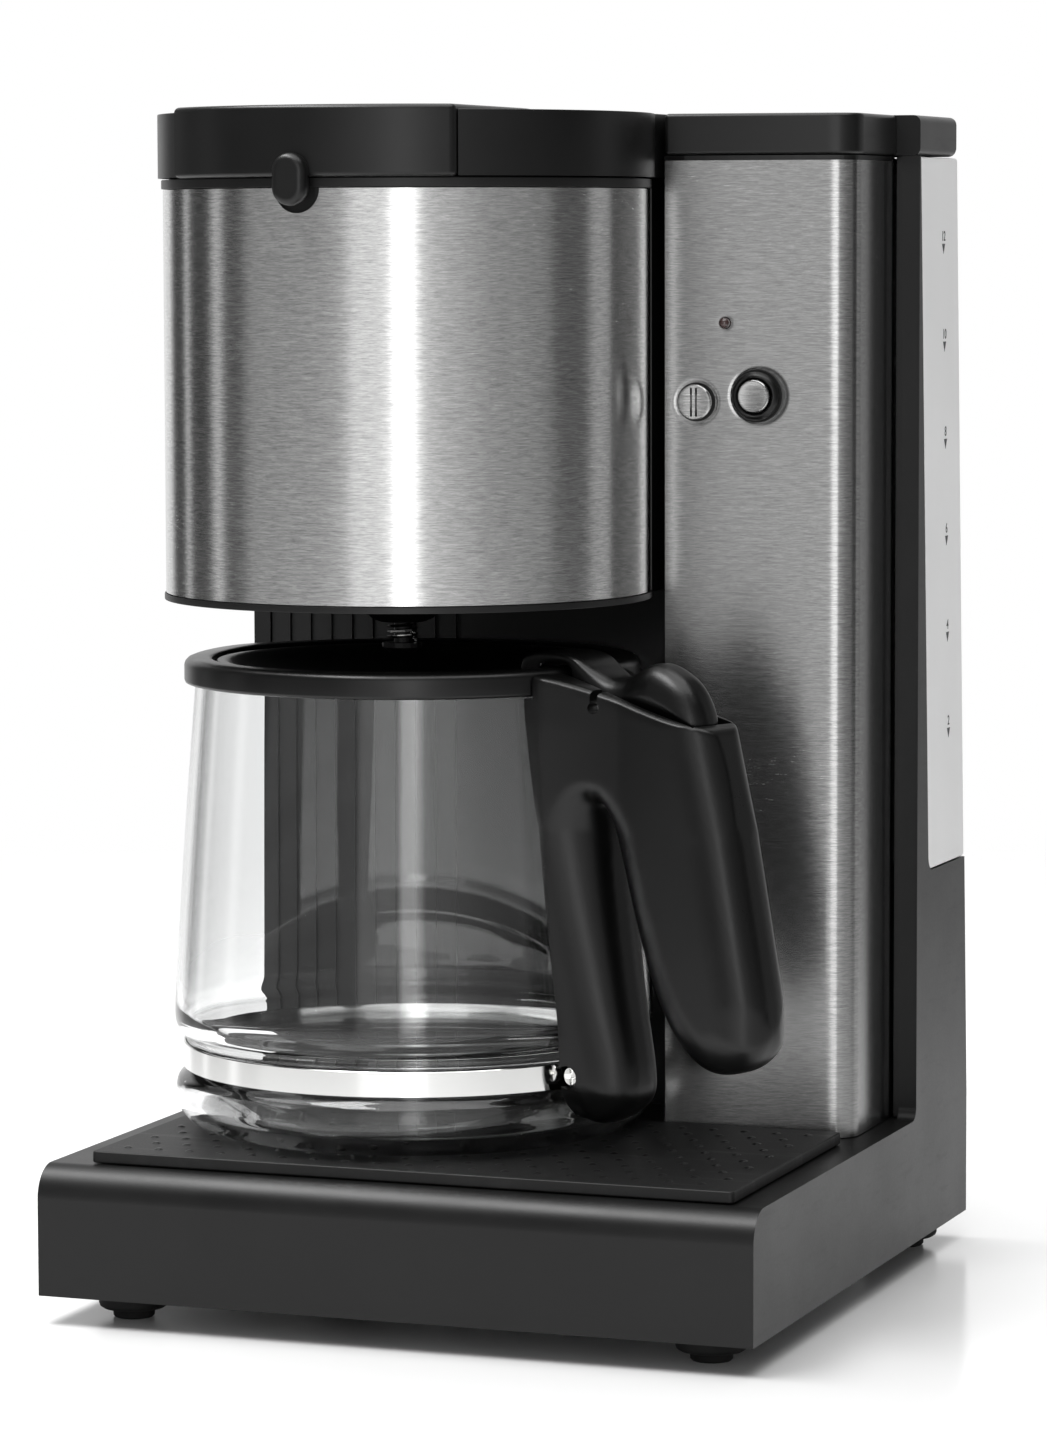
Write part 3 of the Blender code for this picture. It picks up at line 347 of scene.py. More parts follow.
def lamp_plastic(name):
    look = Finish(name, (0.04, 0.02, 0.019), 0.18, 0.0, Coat_Weight=0.6)
    cloud = look.noise(look.mapped(), 500.0, 2.0)
    look.feed("Base Color", look.mix(cloud, (0.025, 0.012, 0.011), (0.06, 0.03, 0.028)))
    look.feed("Roughness", 0.14 + cloud * 0.12)
    return look.material


def printed_ink(name):
    look = Finish(name, (0.02, 0.02, 0.022), 0.5)
    cloud = look.noise(look.mapped(), 2200.0, 3.0)
    look.feed("Base Color", look.mix(cloud.between(0.4, 0.8), (0.02, 0.02, 0.022), (0.08, 0.08, 0.085)))
    look.feed("Roughness", 0.45 + cloud * 0.2)
    return look.material


FINISH = {
    "satin_black": moulded_black("satin black plastic"),
    "plate_coating": plate_coating("plate coating"),
    "foot_rubber": foot_rubber("foot rubber"),
    "heater_aluminium": cast_metal("heater aluminium"),
    "silicone": pale_silicone("hose silicone"),
    "brushed_steel": brushed_steel("brushed steel, level"),
    "polished_steel": polished_steel("polished steel"),
    "tank_plastic": tank_plastic("tank plastic"),
    "lamp_red": lamp_plastic("lamp plastic"),
    "board_green": coated_board("coated board"),
    "clear_glass": clear_glass("carafe glass"),
}
LID_BLACK = moulded_black("fine grained black plastic", 0.004, 0.34, 0.000012, 2600.0)
GRIP_BLACK = moulded_black("handle black plastic", 0.002, 0.31, 0.00003, 1300.0)
WALL_BLACK = moulded_black("matt black wall", 0.005, 0.5, 0.00002, 1500.0)
# The tower's panel is the same brushed stainless as the drum, at half the lightness: painted shade that makes the tower
# read darker.
SHADE_DARKENED_TOWER_STEEL = brushed_steel("brushed steel, tower", 0.30)
KNOB_STEEL = brushed_steel("turned steel", 0.5, 0.26, 0.4, (160.0, 160.0, 3000.0), 0.000006)
INK = printed_ink("printed ink")


# ---------------- mesh helpers


def spot(x, y, z):
    return Vector((x * MM, FRONT + y * MM, FLOOR + z * MM))


def prism(points, low, high, axis="z"):
    """An outline extruded: in plan for z, in the side view for x, in the front view for y, or in the handle's plane."""
    place = {
        "z": lambda u, v, w: spot(u, v, w),
        "x": lambda u, v, w: spot(w, u, v),
        "y": lambda u, v, w: spot(u, w, v),
        "handle": lambda u, v, w: handle_spot(u, w, v),
    }[axis]
    mesh = bmesh.new()
    bottom = [mesh.verts.new(place(u, v, low)) for u, v in points]
    top = [mesh.verts.new(place(u, v, high)) for u, v in points]
    mesh.faces.new(bottom)
    mesh.faces.new(top)
    for i in range(len(points)):
        j = (i + 1) % len(points)
        mesh.faces.new((bottom[i], bottom[j], top[j], top[i]))
    return mesh


def block(x0, x1, y0, y1, z0, z1):
    return prism([(x0, y0), (x1, y0), (x1, y1), (x0, y1)], z0, z1)


def arc(cx, cy, radius, start, end, steps):
    angles = (radians(start + (end - start) * i / steps) for i in range(steps + 1))
    return [(cx + radius * cos(a), cy + radius * sin(a)) for a in angles]


def rounded(x0, x1, y0, y1, radius, steps=6):
    """A rectangle with round corners."""
    points = arc(x1 - radius, y0 + radius, radius, -90, 0, steps)
    points += arc(x1 - radius, y1 - radius, radius, 0, 90, steps)
    points += arc(x0 + radius, y1 - radius, radius, 90, 180, steps)
    return points + arc(x0 + radius, y0 + radius, radius, 180, 270, steps)


def curved(points, steps, closed=True):
    """A smooth line through the points."""
    found = []
    count = len(points)
    for i in range(count if closed else count - 1):
        if closed:
            a, b, c, d = (Vector(points[(i + k) % count]) for k in (-1, 0, 1, 2))
        else:
            a, b, c, d = (Vector(points[min(count - 1, max(0, i + k))]) for k in (-1, 0, 1, 2))
        for k in range(steps):
            t = k / steps
            p = b * 2 + (c - a) * t + (a * 2 - b * 5 + c * 4 - d) * t ** 2 + (b * 3 - a - c * 3 + d) * t ** 3
            found.append(tuple(p / 2))
    if not closed:
        found.append(tuple(points[-1]))
    return found


def lathe(profile, x, y, steps=96, axis="z"):
    """A closed outline of (radius, height) points turned round an axis."""
    mesh = bmesh.new()
    rings = []
    for radius, height in profile:
        ring = []
        for i in range(1 if radius == 0 else steps):
            a = 2 * pi * i / steps
            u, v = radius * cos(a), radius * sin(a)
            ring.append(mesh.verts.new(spot(x + u, y + v, height) if axis == "z" else spot(x + u, height, y + v)))
        rings.append(ring)
    for k in range(len(rings)):
        a, b = rings[k], rings[(k + 1) % len(rings)]
        if len(a) == 1 and len(b) == 1:
            continue
        for i in range(steps):
            j = (i + 1) % steps
            mesh.faces.new(list(dict.fromkeys([a[i % len(a)], a[j % len(a)], b[j % len(b)], b[i % len(b)]])))
    return mesh


def rod(x, z, radius, y0, y1, steps=48):
    return lathe([(0, y0), (radius, y0), (radius, y1), (0, y1)], x, z, steps, axis="y")


def linked(made):
    bpy.context.scene.collection.objects.link(made)
    return made


def raw(name, mesh, tidy=True):
    if tidy:
        bmesh.ops.remove_doubles(mesh, verts=mesh.verts, dist=1e-7)
        bmesh.ops.recalc_face_normals(mesh, faces=mesh.faces)
    data = bpy.data.meshes.new(name)
    mesh.to_mesh(data)
    mesh.free()
    return linked(bpy.data.objects.new(name, data))


def merged(name, *parts):
    """Several pieces as one."""
    mesh = bmesh.new()
    for part in parts:
        mesh.from_mesh(part.data)
        bpy.data.objects.remove(part)
    return raw(name, mesh)


def settle(made):
    """Turn an object's live modifiers into plain mesh."""
    bpy.context.view_layer.update()
    graph = bpy.context.evaluated_depsgraph_get()
    data = bpy.data.meshes.new_from_object(made.evaluated_get(graph), preserve_all_data_layers=True, depsgraph=graph)
    old = made.data
    made.modifiers.clear()
    made.data = data
    data.name = made.name
    if isinstance(old, bpy.types.Mesh):
        bpy.data.meshes.remove(old)


def worked(name, mesh, *steps):
    """A mesh with its cuts, joins, bevels and smoothing done, in the order given."""
    made = raw(name, mesh)
    guides = []
    for step in steps:
        kind = step[0]
        if kind in ("cut", "union"):
            guide = raw(name + "_guide", step[1])
            guides.append(guide)
            work = made.modifiers.new(kind, "BOOLEAN")
            work.operation = "DIFFERENCE" if kind == "cut" else "UNION"
            work.object = guide
        elif kind == "bevel":
            work = made.modifiers.new(kind, "BEVEL")
            work.width, work.segments = step[1] * MM, step[2]
            work.limit_method = "ANGLE"
            work.angle_limit = radians(step[3])
        elif kind == "voxel":
            work = made.modifiers.new(kind, "REMESH")
            work.mode = "VOXEL"
            work.voxel_size = step[1] * MM
        elif kind == "relax":
            work = made.modifiers.new(kind, "SMOOTH")
            work.factor, work.iterations = 0.5, step[1]
    settle(made)
    for guide in guides:
        bpy.data.objects.remove(guide)
    return made


def fit(made, body, slot, *nodes, material=None, angle=32, even=True):
    """Shade a finished piece, give it the finish named by its slot, hang it on its body and hide the CAD nodes that it
    stands for.
    """
    made.data.materials.clear()
    made.data.materials.append(material or FINISH[slot])
    made.data.shade_smooth()
    made.data.set_sharp_from_angle(angle=radians(angle))
    if even:
        weigh = made.modifiers.new("even shading", "WEIGHTED_NORMAL")
        weigh.keep_sharp = True
        settle(made)
    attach(made, body)
    if nodes:
        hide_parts(*nodes)
    return made


# ---------------- repeated shapes


def grid_tree():
    """Geometry nodes that stand one shape on every point of a grid."""
    tree = bpy.data.node_groups.new("shape on a grid", "GeometryNodeTree")
    wanted = (("Shape", "NodeSocketObject"), ("Width", "NodeSocketFloat"), ("Depth", "NodeSocketFloat"),
              ("Columns", "NodeSocketInt"), ("Rows", "NodeSocketInt"), ("Stagger", "NodeSocketFloat"),
              ("Centre", "NodeSocketVector"), ("Turn", "NodeSocketRotation"), ("Finish", "NodeSocketMaterial"))
    for title, kind in wanted:
        tree.interface.new_socket(name=title, in_out="INPUT", socket_type=kind)
    tree.interface.new_socket(name="Geometry", in_out="OUTPUT", socket_type="NodeSocketGeometry")
    graph = Graph(tree)
    given = graph.node("NodeGroupInput")
    sizes = {"Size X": given["Width"], "Size Y": given["Depth"], "Vertices X": given["Columns"],
             "Vertices Y": given["Rows"]}
    grid = graph.node("GeometryNodeMeshGrid", None, sizes)
    row = graph.node("GeometryNodeInputIndex")[0] % given["Rows"]
    aside = graph.node("ShaderNodeCombineXYZ", None, {"X": (row % 2.0 - 0.5) * given["Stagger"]})[0]
    moved = graph.node("GeometryNodeSetPosition", None, {"Geometry": grid["Mesh"], "Offset": aside})
    shape = graph.node("GeometryNodeObjectInfo", None, {"Object": given["Shape"]})
    stood = graph.node("GeometryNodeInstanceOnPoints", None, {"Points": moved[0], "Instance": shape["Geometry"]})
    turned = graph.node("GeometryNodeTransform", None,
                        {"Geometry": stood[0], "Translation": given["Centre"], "Rotation": given["Turn"]})
    real = graph.node("GeometryNodeRealizeInstances", None, {"Geometry": turned[0]})
    coated = graph.node("GeometryNodeSetMaterial", None, {"Geometry": real[0], "Material": given["Finish"]})
    graph.node("NodeGroupOutput", None, {"Geometry": coated[0]})
    return tree


GRID = grid_tree()


def on_grid(name, shape, material, centre, width, depth, columns, rows, turn=(0, 0, 0), stagger=0.0):
    """A shape, modelled at the world's origin, repeated on a grid about a plan point."""
    made = raw(name, bmesh.new(), tidy=False)
    step = made.modifiers.new("grid", "NODES")
    step.node_group = GRID
    values = {"Shape": shape, "Width": width * MM, "Depth": depth * MM, "Columns": columns, "Rows": rows,
              "Stagger": stagger * MM, "Centre": spot(*centre), "Turn": turn, "Finish": material}
    for item in GRID.interface.items_tree:
        if item.in_out == "INPUT":
            step[item.identifier] = values[item.name]
    settle(made)
    bpy.data.objects.remove(shape)
    return made


def at_origin(mesh):
    """Move a mesh made about the plan's origin to the world's origin."""
    bmesh.ops.translate(mesh, verts=mesh.verts, vec=-spot(0, 0, 0))
    return mesh


def screw_head(radius=3.0, deep=1.0):
    """A domed cross-head screw, facing up."""
    dome = [(0, deep), (radius * 0.5, deep * 0.93), (radius * 0.85, deep * 0.62), (radius, deep * 0.1),
            (radius, -1.0), (0, -1.0)]
    arm, wide = radius * 0.55, radius * 0.13
    return worked("screw", at_origin(lathe(dome, 0, 0, 20)),
                  ("cut", at_origin(block(-arm, arm, -wide, wide, deep * 0.3, deep + 1))),
                  ("cut", at_origin(block(-wide, wide, -arm, arm, deep * 0.3, deep + 1))))


# ---------------- base


def back_y(z, inset=0.0):
    lean = BACK_LEAN * max(0.0, (z - BASE_HEIGHT) / (TOWER_HEIGHT - BASE_HEIGHT))
    return BASE_DEPTH - lean - inset


def side_outline(inset, low, high, round_front=10.0):
    top = arc(round_front, high - round_front, round_front - inset, 180, 90, 20)
    return [(inset, low)] + top + [(BASE_DEPTH - inset, high - inset), (BASE_DEPTH - inset, low)]


def leg_outline(side):
    """The upright part of a cheek in the side view, with the ledge under the window on the right."""
    top = TOWER_HEIGHT + 0.2
    inner = [(UPRIGHT - 30, BASE_HEIGHT - 8), (UPRIGHT - 30, BASE_HEIGHT)]
    inner += arc(UPRIGHT - 4, BASE_HEIGHT + 4, 4, -90, 0, 8)
    if side > 0:
        ledge = WINDOW_LOW.z - GAP
        corner = arc(UPRIGHT + 13 + 5, ledge + 5, 5, 180, 270, 8)
        leg = [(UPRIGHT, top), (UPRIGHT + 1.2, top)] + corner + [(back_y(ledge), ledge)]
    else:
        leg = [(UPRIGHT, top), (back_y(top), top)]
    return inner + leg + [(back_y(BASE_HEIGHT), BASE_HEIGHT), (back_y(BASE_HEIGHT), BASE_HEIGHT - 8)]


def make_base():
    """The base and its two upright cheeks, which show no seam, as one moulded housing."""
    shell = worked("outer_housing", prism(side_outline(0, 0, BASE_HEIGHT), -HALF, HALF, "x"),
                   ("union", prism(leg_outline(1), INNER, HALF, "x")),
                   ("union", prism(leg_outline(-1), -HALF, -INNER, "x")),
                   ("bevel", 0.9, 4, 50),
                   ("cut", prism(side_outline(WALL, -1, BASE_HEIGHT), -INNER + WALL, INNER - WALL, "x")),
                   ("cut", block(CARAFE_X - 52, CARAFE_X + 52, 20, 112, 30, BASE_HEIGHT + 5)),
                   ("cut", block(-INNER + 12, INNER - 14, UPRIGHT + 16, BASE_DEPTH - 10, 30, BASE_HEIGHT + 5)))
    fit(shell, "machine", "satin_black", "base_shell", "side_panel_right", "side_panel_left")
    plate = worked("warming_plate_top",
                   prism(rounded(PLATE_LOW.x, PLATE_HIGH.x, PLATE_LOW.y, PLATE_HIGH.y, 1.6), PLATE_LOW.z, PLATE_HIGH.z),
                   ("bevel", 0.6, 3, 50))
    fit(plate, "machine", "plate_coating", "warming_plate")
    dome = [(0, 0.45), (0.8, 0.38), (1.5, 0.02), (1.5, -0.1), (0, -0.1)]
    shape = raw("dot", at_origin(lathe(dome, 0, 0, 10)))
    centre = (*centre_of("warming_plate")[:2], PLATE_HIGH.z)
    dots = on_grid("plate_dots", shape, LID_BLACK, centre, 186, 90, 19, 10, stagger=5.0)
    fit(dots, "machine", "plate_coating", material=LID_BLACK, even=False, angle=60)


def make_feet():
    for name in ("foot_front_left", "foot_front_right", "foot_rear_left", "foot_rear_right"):
        low, high = edges_of(name)
        (x, y, _), radius = centre_of(name), (high.x - low.x) / 2
        profile = [(0, low.z + 0.4), (radius - 7, low.z + 0.4), (radius - 6.6, low.z), (radius - 5.0, low.z),
                   (radius - 4.4, low.z + 0.6), (radius - 4.3, low.z + 2.4), (radius - 3.9, low.z + 2.8),
                   (radius - 1.2, low.z + 3.1), (radius - 0.3, low.z + 3.7), (radius, low.z + 4.6),
                   (radius, high.z), (0, high.z)]
        foot = raw(name + "_pad", lathe(profile, x, y, 64))
        fit(foot, "machine", "foot_rubber", name, angle=40)


def make_underside():
    centre = (*centre_of("bottom_cover")[:2], edges_of("bottom_cover")[0].z)
    screws = on_grid("bottom_screws", screw_head(3.2, 0.9), FINISH["polished_steel"], centre,
                     150, 170, 2, 2, turn=(pi, 0, 0))
    fit(screws, "machine", "polished_steel", even=False)


# ---------------- tower


def tower_line(inset, tail, steps=40):
    """The tower's outer line in plan: a nearly flat front, a slightly sharper strip and the corner."""
    x, y, turn = TOWER_LEFT + 1.0, TOWER_FRONT, radians(4.6)
    bend, strip = radians(21.0), 4.0
    reach = TOWER_SIDE - TOWER_CORNER * (1 - sin(bend)) - strip * cos(radians(17)) - x
    line = [(x - inset * sin(turn), y + inset * cos(turn))]

    def walk(length, count, turned):
        nonlocal x, y, turn
        for _ in range(count):
            x, y = x + length / count * cos(turn), y + length / count * sin(turn)
            turn += turned / count
            line.append((x - inset * sin(turn), y + inset * cos(turn)))

    walk(reach, steps - 1, reach / FRONT_RADIUS)
    turn += reach / (steps - 1) / FRONT_RADIUS
    walk(strip, 8, bend - turn)
    ox, oy = x - TOWER_CORNER * sin(turn), y + TOWER_CORNER * cos(turn)
    line += arc(ox, oy, TOWER_CORNER - inset, -90 + degrees(bend), 0, 16)[1:]
    return line + [(line[-1][0], (oy + tail) / 2), (line[-1][0], tail)]


def dent(x, z):
    """How far the sheet is pressed in round the button, the selector and the lamp."""
    deep = 0.0
    for (cx, cz), inner, outer, most in ((BUTTON, 8.4, 9.8, 0.3), (KNOB, 6.3, 7.4, 0.3), (LAMP, 1.9, 2.5, 0.12)):
        away = hypot(x - cx, z - cz)
        share = min(1.0, max(0.0, (outer - away) / (outer - inner)))
        deep = max(deep, most * share * share * (3 - 2 * share))
    return deep


def make_tower():
    low, high = PANEL_LOW.z, PANEL_HIGH.z
    heights = [low, low + 1, 120, 180, 230]
    heights += [255 + 0.5 * i for i in range(96)]
    heights += [310, 330, high]
    outer, inner = tower_line(0, PANEL_HIGH.y, 100), tower_line(SHEET, PANEL_HIGH.y, 100)
    mesh = bmesh.new()
    front, back = [[[mesh.verts.new(spot(x, y + (dent(x, z) if i <= 100 else 0), z)) for i, (x, y) in enumerate(line)]
                    for z in heights] for line in (outer, inner)]
    top, end = len(heights) - 1, len(outer) - 1
    for rows in (front, back):
        for k in range(top):
            for i in range(end):
                mesh.faces.new((rows[k][i], rows[k][i + 1], rows[k + 1][i + 1], rows[k + 1][i]))
    for k in range(top):
        for i in (0, end):
            mesh.faces.new((front[k][i], front[k + 1][i], back[k + 1][i], back[k][i]))
    for i in range(end):
        for k in (0, top):
            mesh.faces.new((front[k][i], front[k][i + 1], back[k][i + 1], back[k][i]))
    holes = [(BUTTON, BEZEL_RADIUS - 0.5), (KNOB, 6.1), (LAMP, 1.9)]
    cuts = [("cut", rod(x, z, radius, TOWER_FRONT - 10, TOWER_FRONT + 20)) for (x, z), radius in holes]
    panel = worked("tower_steel", mesh, *cuts)
    # The panel takes the darkened copy of the brushed steel: painted shade.
    fit(panel, "machine", "brushed_steel", "steel_panel", material=SHADE_DARKENED_TOWER_STEEL, angle=45, even=False)


def make_seal():
    """The black strip between the tower's steel and the right cheek."""
    strip = worked("tower_seal", block(TOWER_SIDE + 0.1, INNER - 0.1, UPRIGHT + 1.0, UPRIGHT + 3.0, BASE_HEIGHT + 0.4,
                                       TOWER_HEIGHT + 0.2), ("bevel", 0.3, 2, 50))
    fit(strip, "machine", "satin_black")


def make_rear():
    """The back cover with its louvres and screws."""
    low, high = BASE_HEIGHT + GAP, TOWER_HEIGHT
    outline = [(back_y(low, WALL), low), (back_y(low), low), (back_y(high), high), (back_y(high, WALL), high)]
    cuts = []
    for i in range(6):
        z = 70.0 + 9.0 * i
        slot = rounded(-40, 40, z, z + 3.5, 1.7, 5)
        cuts.append(("cut", prism(slot, back_y(z) - 8, back_y(z) + 8, "y")))
    cuts.append(("cut", rod(-80, 62, 6.3, back_y(62) - 12, back_y(62) + 12)))
    cover = worked("back_panel", prism(outline, BASE_LOW.x, BASE_HIGH.x, "x"), *cuts, ("bevel", 0.4, 2, 50))
    fit(cover, "machine", "satin_black", "back_cover")
    lean = atan2(BACK_LEAN, TOWER_HEIGHT - BASE_HEIGHT)
    centre = (0, back_y(190) - 0.3, 190)
    screws = on_grid("back_screws", screw_head(3.0, 0.8), FINISH["polished_steel"], centre, 196, 270, 2, 2,
                     turn=(lean - pi / 2, 0, 0))
    fit(screws, "machine", "polished_steel", even=False)


def make_window():
    front_low, front_high = UPRIGHT + 13 + GAP, UPRIGHT + 1.2 + GAP
    low, high = WINDOW_LOW.z, WINDOW_HIGH.z + 0.5
    corner = arc(front_low + 5, low + 5, 5, 180, 270, 8)
    outline = [(front_high, high)] + corner + [(back_y(low), low), (back_y(high), high)]
    face = WINDOW_HIGH.x - 0.12
    pane = worked("gauge_window", prism(outline, WINDOW_LOW.x, face, "x"), ("bevel", 0.9, 4, 50))
    fit(pane, "machine", "tank_plastic", "tank_window")
    marks = []
    for i, cups in enumerate((12, 10, 8, 6, 4, 2)):
        z = 321.0 - 31.4 * i
        y = 199.0 + 1.7 * i
        text = bpy.data.curves.new("cups", "FONT")
        text.body = str(cups)
        text.size = 4.4 * MM
        text.align_x = "CENTER"
        text.extrude = 0.05 * MM
        text.offset = 0.06 * MM
        label = linked(bpy.data.objects.new("cups", text))
        settled = bpy.data.meshes.new_from_object(label)
        bpy.data.objects.remove(label)
        settled.transform(Matrix.Translation(spot(face, y, z + 0.4))
                          @ Matrix.Rotation(pi / 2, 4, "Z") @ Matrix.Rotation(pi / 2, 4, "X"))
        marks.append(bpy.data.objects.new("cups", settled))
        arrow = prism([(y - 1.7, z - 0.6), (y + 1.7, z - 0.6), (y, z - 3.8)], face - 0.05, face + 0.06, "x")
        marks.append(raw("arrow", arrow))
    fit(merged("gauge_marks", *marks), "machine", "tank_plastic", material=INK, even=False)


# ---------------- head


def ring_sector(inner, outer, start, end, low, high, steps=110):
    outline = arc(HEAD_X, HEAD_Y, outer, start, end, steps)
    outline += arc(HEAD_X, HEAD_Y, inner, end, start, steps)
    return prism(outline, low, high)


def head_outline(grow, left, right, rear, steps=110):
    radius = DRUM_RADIUS + grow
    start = degrees(acos(min(1, (right - HEAD_X) / radius)))
    end = -180 - degrees(acos(min(1, (HEAD_X - left) / radius)))
    return [(right, rear)] + arc(HEAD_X, HEAD_Y, radius, start, end, steps) + [(left, rear)]


def make_drum():
    start, end = 20.0, -200.0
    inner = DRUM_RADIUS - 1.5
    low, high = RIM_LOW.z, RIM_HIGH.z
    notch = prism(arc(FLAP_CENTRE, COVER_LOW.z - 3.7, 6.6, 0, 354, 59), -10, 17.4, "y")
    rim = worked("drum_rim", ring_sector(inner, DRUM_RADIUS + 0.5, start + 3, end - 3, low, high),
                 ("cut", ring_sector(inner - 4, DRUM_RADIUS + 3, start, end, DRUM_LOW.z - GAP, DRUM_HIGH.z + GAP)),
                 ("cut", notch), ("bevel", 0.25, 2, 50))
    fit(rim, "machine", "satin_black", "drum_frame")
    notch = prism(arc(FLAP_CENTRE, COVER_LOW.z - 3.7, 7.4, 0, 354, 59), -10, 60, "y")
    skin = worked("drum_skin", ring_sector(DRUM_RADIUS - SHEET, DRUM_RADIUS, start - 0.3, end + 0.3,
                                           DRUM_LOW.z, DRUM_HIGH.z, 160), ("cut", notch))
    fit(skin, "machine", "brushed_steel", "drum_steel", angle=45, even=False)


def flap_line(grow, reach):
    half = (FLAP_RIGHT - FLAP_LEFT) / 2 + grow
    rear = arc(FLAP_CENTRE, FLAP_ROUND, half, 0, 180, 48)
    if reach:
        return rear + [(FLAP_CENTRE - half, HEAD_Y - DRUM_RADIUS - reach),
                       (FLAP_CENTRE + half, HEAD_Y - DRUM_RADIUS - reach)]
    radius = DRUM_RADIUS + FLAP_STANDS_OUT
    first = -180 + degrees(acos((HEAD_X - (FLAP_CENTRE - half)) / radius))
    last = -degrees(acos((FLAP_CENTRE + half - HEAD_X) / radius))
    return rear + arc(HEAD_X, HEAD_Y, radius, first, last, 60)


def make_covers():
    back = UPRIGHT - GAP
    cap = worked("tower_cap", prism([(TOWER_LEFT - 1, back + 6)] + tower_line(-0.8, back + 6), CAP_LOW.z, TOP),
                 ("bevel", 2.4, 5, 50), ("cut", block(0, 200, back, back + 20, CAP_LOW.z - 5, TOP + 5)))
    fit(cap, "machine", "satin_black", "tower_lid", material=LID_BLACK)
    low, left = COVER_LOW.z, -HALF
    grow = 1.5
    edge = HEAD_X - DRUM_RADIUS - grow + 0.4
    rear = block(left, TANK_LEFT - 1, UPRIGHT, back_y(TOWER_HEIGHT), CAP_LOW.z, TOP)
    hollow = prism(head_outline(grow - WALL, edge + WALL, TOWER_LEFT - 1.4 - WALL, UPRIGHT + 7), low - 1, TOP - WALL)
    inner = block(left + WALL, TANK_LEFT - 1 - WALL, UPRIGHT + WALL, back_y(TOWER_HEIGHT) - WALL, CAP_LOW.z - 1,
                  TOP - WALL)
    cover = worked("head_top", prism(head_outline(grow, edge, TOWER_LEFT - 1.4, UPRIGHT + 0.5), low - 12, TOP),
                   ("union", rear), ("bevel", 3.6, 5, 60), ("cut", block(-200, 200, -50, UPRIGHT - 0.1, low - 30, low)),
                   ("cut", block(-200, 200, UPRIGHT - 5, UPRIGHT + 5, low - 30, CAP_LOW.z)),
                   ("cut", hollow), ("cut", inner),
                   ("cut", prism(flap_line(0.2, 40), low - 5, TOP + 5)),
                   ("cut", block(FLAP_CENTRE - 16, FLAP_CENTRE + 16, FLAP_HINGE - 12, FLAP_HINGE + 4.5, TOP - 9,
                                 TOP + 3)), ("bevel", 0.3, 2, 60))
    fit(cover, "machine", "satin_black", "head_cover", material=LID_BLACK)


def make_flap():
    """The lid that opens: a flat top with a rounded edge, a front skirt and a pill-shaped thumb tab."""
    outer = prism(flap_line(-0.15, 0), FLAP_LOW.z + 9.4, FLAP_HIGH.z)
    inside = prism(head_outline(0.4, HEAD_X - 90, HEAD_X + 90, 200), FLAP_LOW.z - 20, TOP - 1.2)
    knuckle = prism(arc(FLAP_HINGE, TOP - 2.6, 2.6, 0, 345, 23), FLAP_CENTRE - 14, FLAP_CENTRE + 14, "x")
    flap = worked("lid_flap", outer, ("bevel", 1.6, 4, 50), ("cut", inside), ("union", knuckle))
    front = HEAD_Y - DRUM_RADIUS - FLAP_STANDS_OUT
    pill = []
    for z, begin in ((COVER_LOW.z + 1.4, 0), (COVER_LOW.z - 3.4, 180)):
        pill += arc(FLAP_CENTRE, z, 5.5, begin, begin + 180, 20)
    tab = worked("lid_tab", prism(pill, front - 4.5, front + 1.6, "y"), ("bevel", 2.4, 6, 50))
    fit(merged("flap_and_tab", flap, tab), "head_lid", "satin_black", "head_lid", material=LID_BLACK)


def make_tank_cap():
    y0, y1 = TANKCAP_LOW.y, TANKCAP_HIGH.y
    low, high = TANKCAP_LOW.z, TANKCAP_HIGH.z
    knuckle = 3.2
    outline = [(y0 - 6, low)] + arc(y1 - knuckle, low + knuckle, knuckle, -90, 0, 12) + [(y1, high), (y0 - 6, high)]
    cap = worked("tank_cap", prism(outline, TANKCAP_LOW.x, TANKCAP_HIGH.x, "x"), ("bevel", 2.4, 5, 50),
                 ("cut", block(0, 200, y0 - 20, y0, low - 5, high + 5)),
                 ("cut", block(TANK_LEFT + 2.5, HALF - 3, y0 + 3, y1 - 9, low - 2, high - 2.5)),
                 ("cut", prism(arc(y1 - knuckle, low + knuckle, 1.5, 0, 330, 11), TANK_LEFT + 5, HALF - 5, "x")))
    fit(cap, "tank_lid", "satin_black", "tank_lid", material=LID_BLACK)


# ---------------- controls


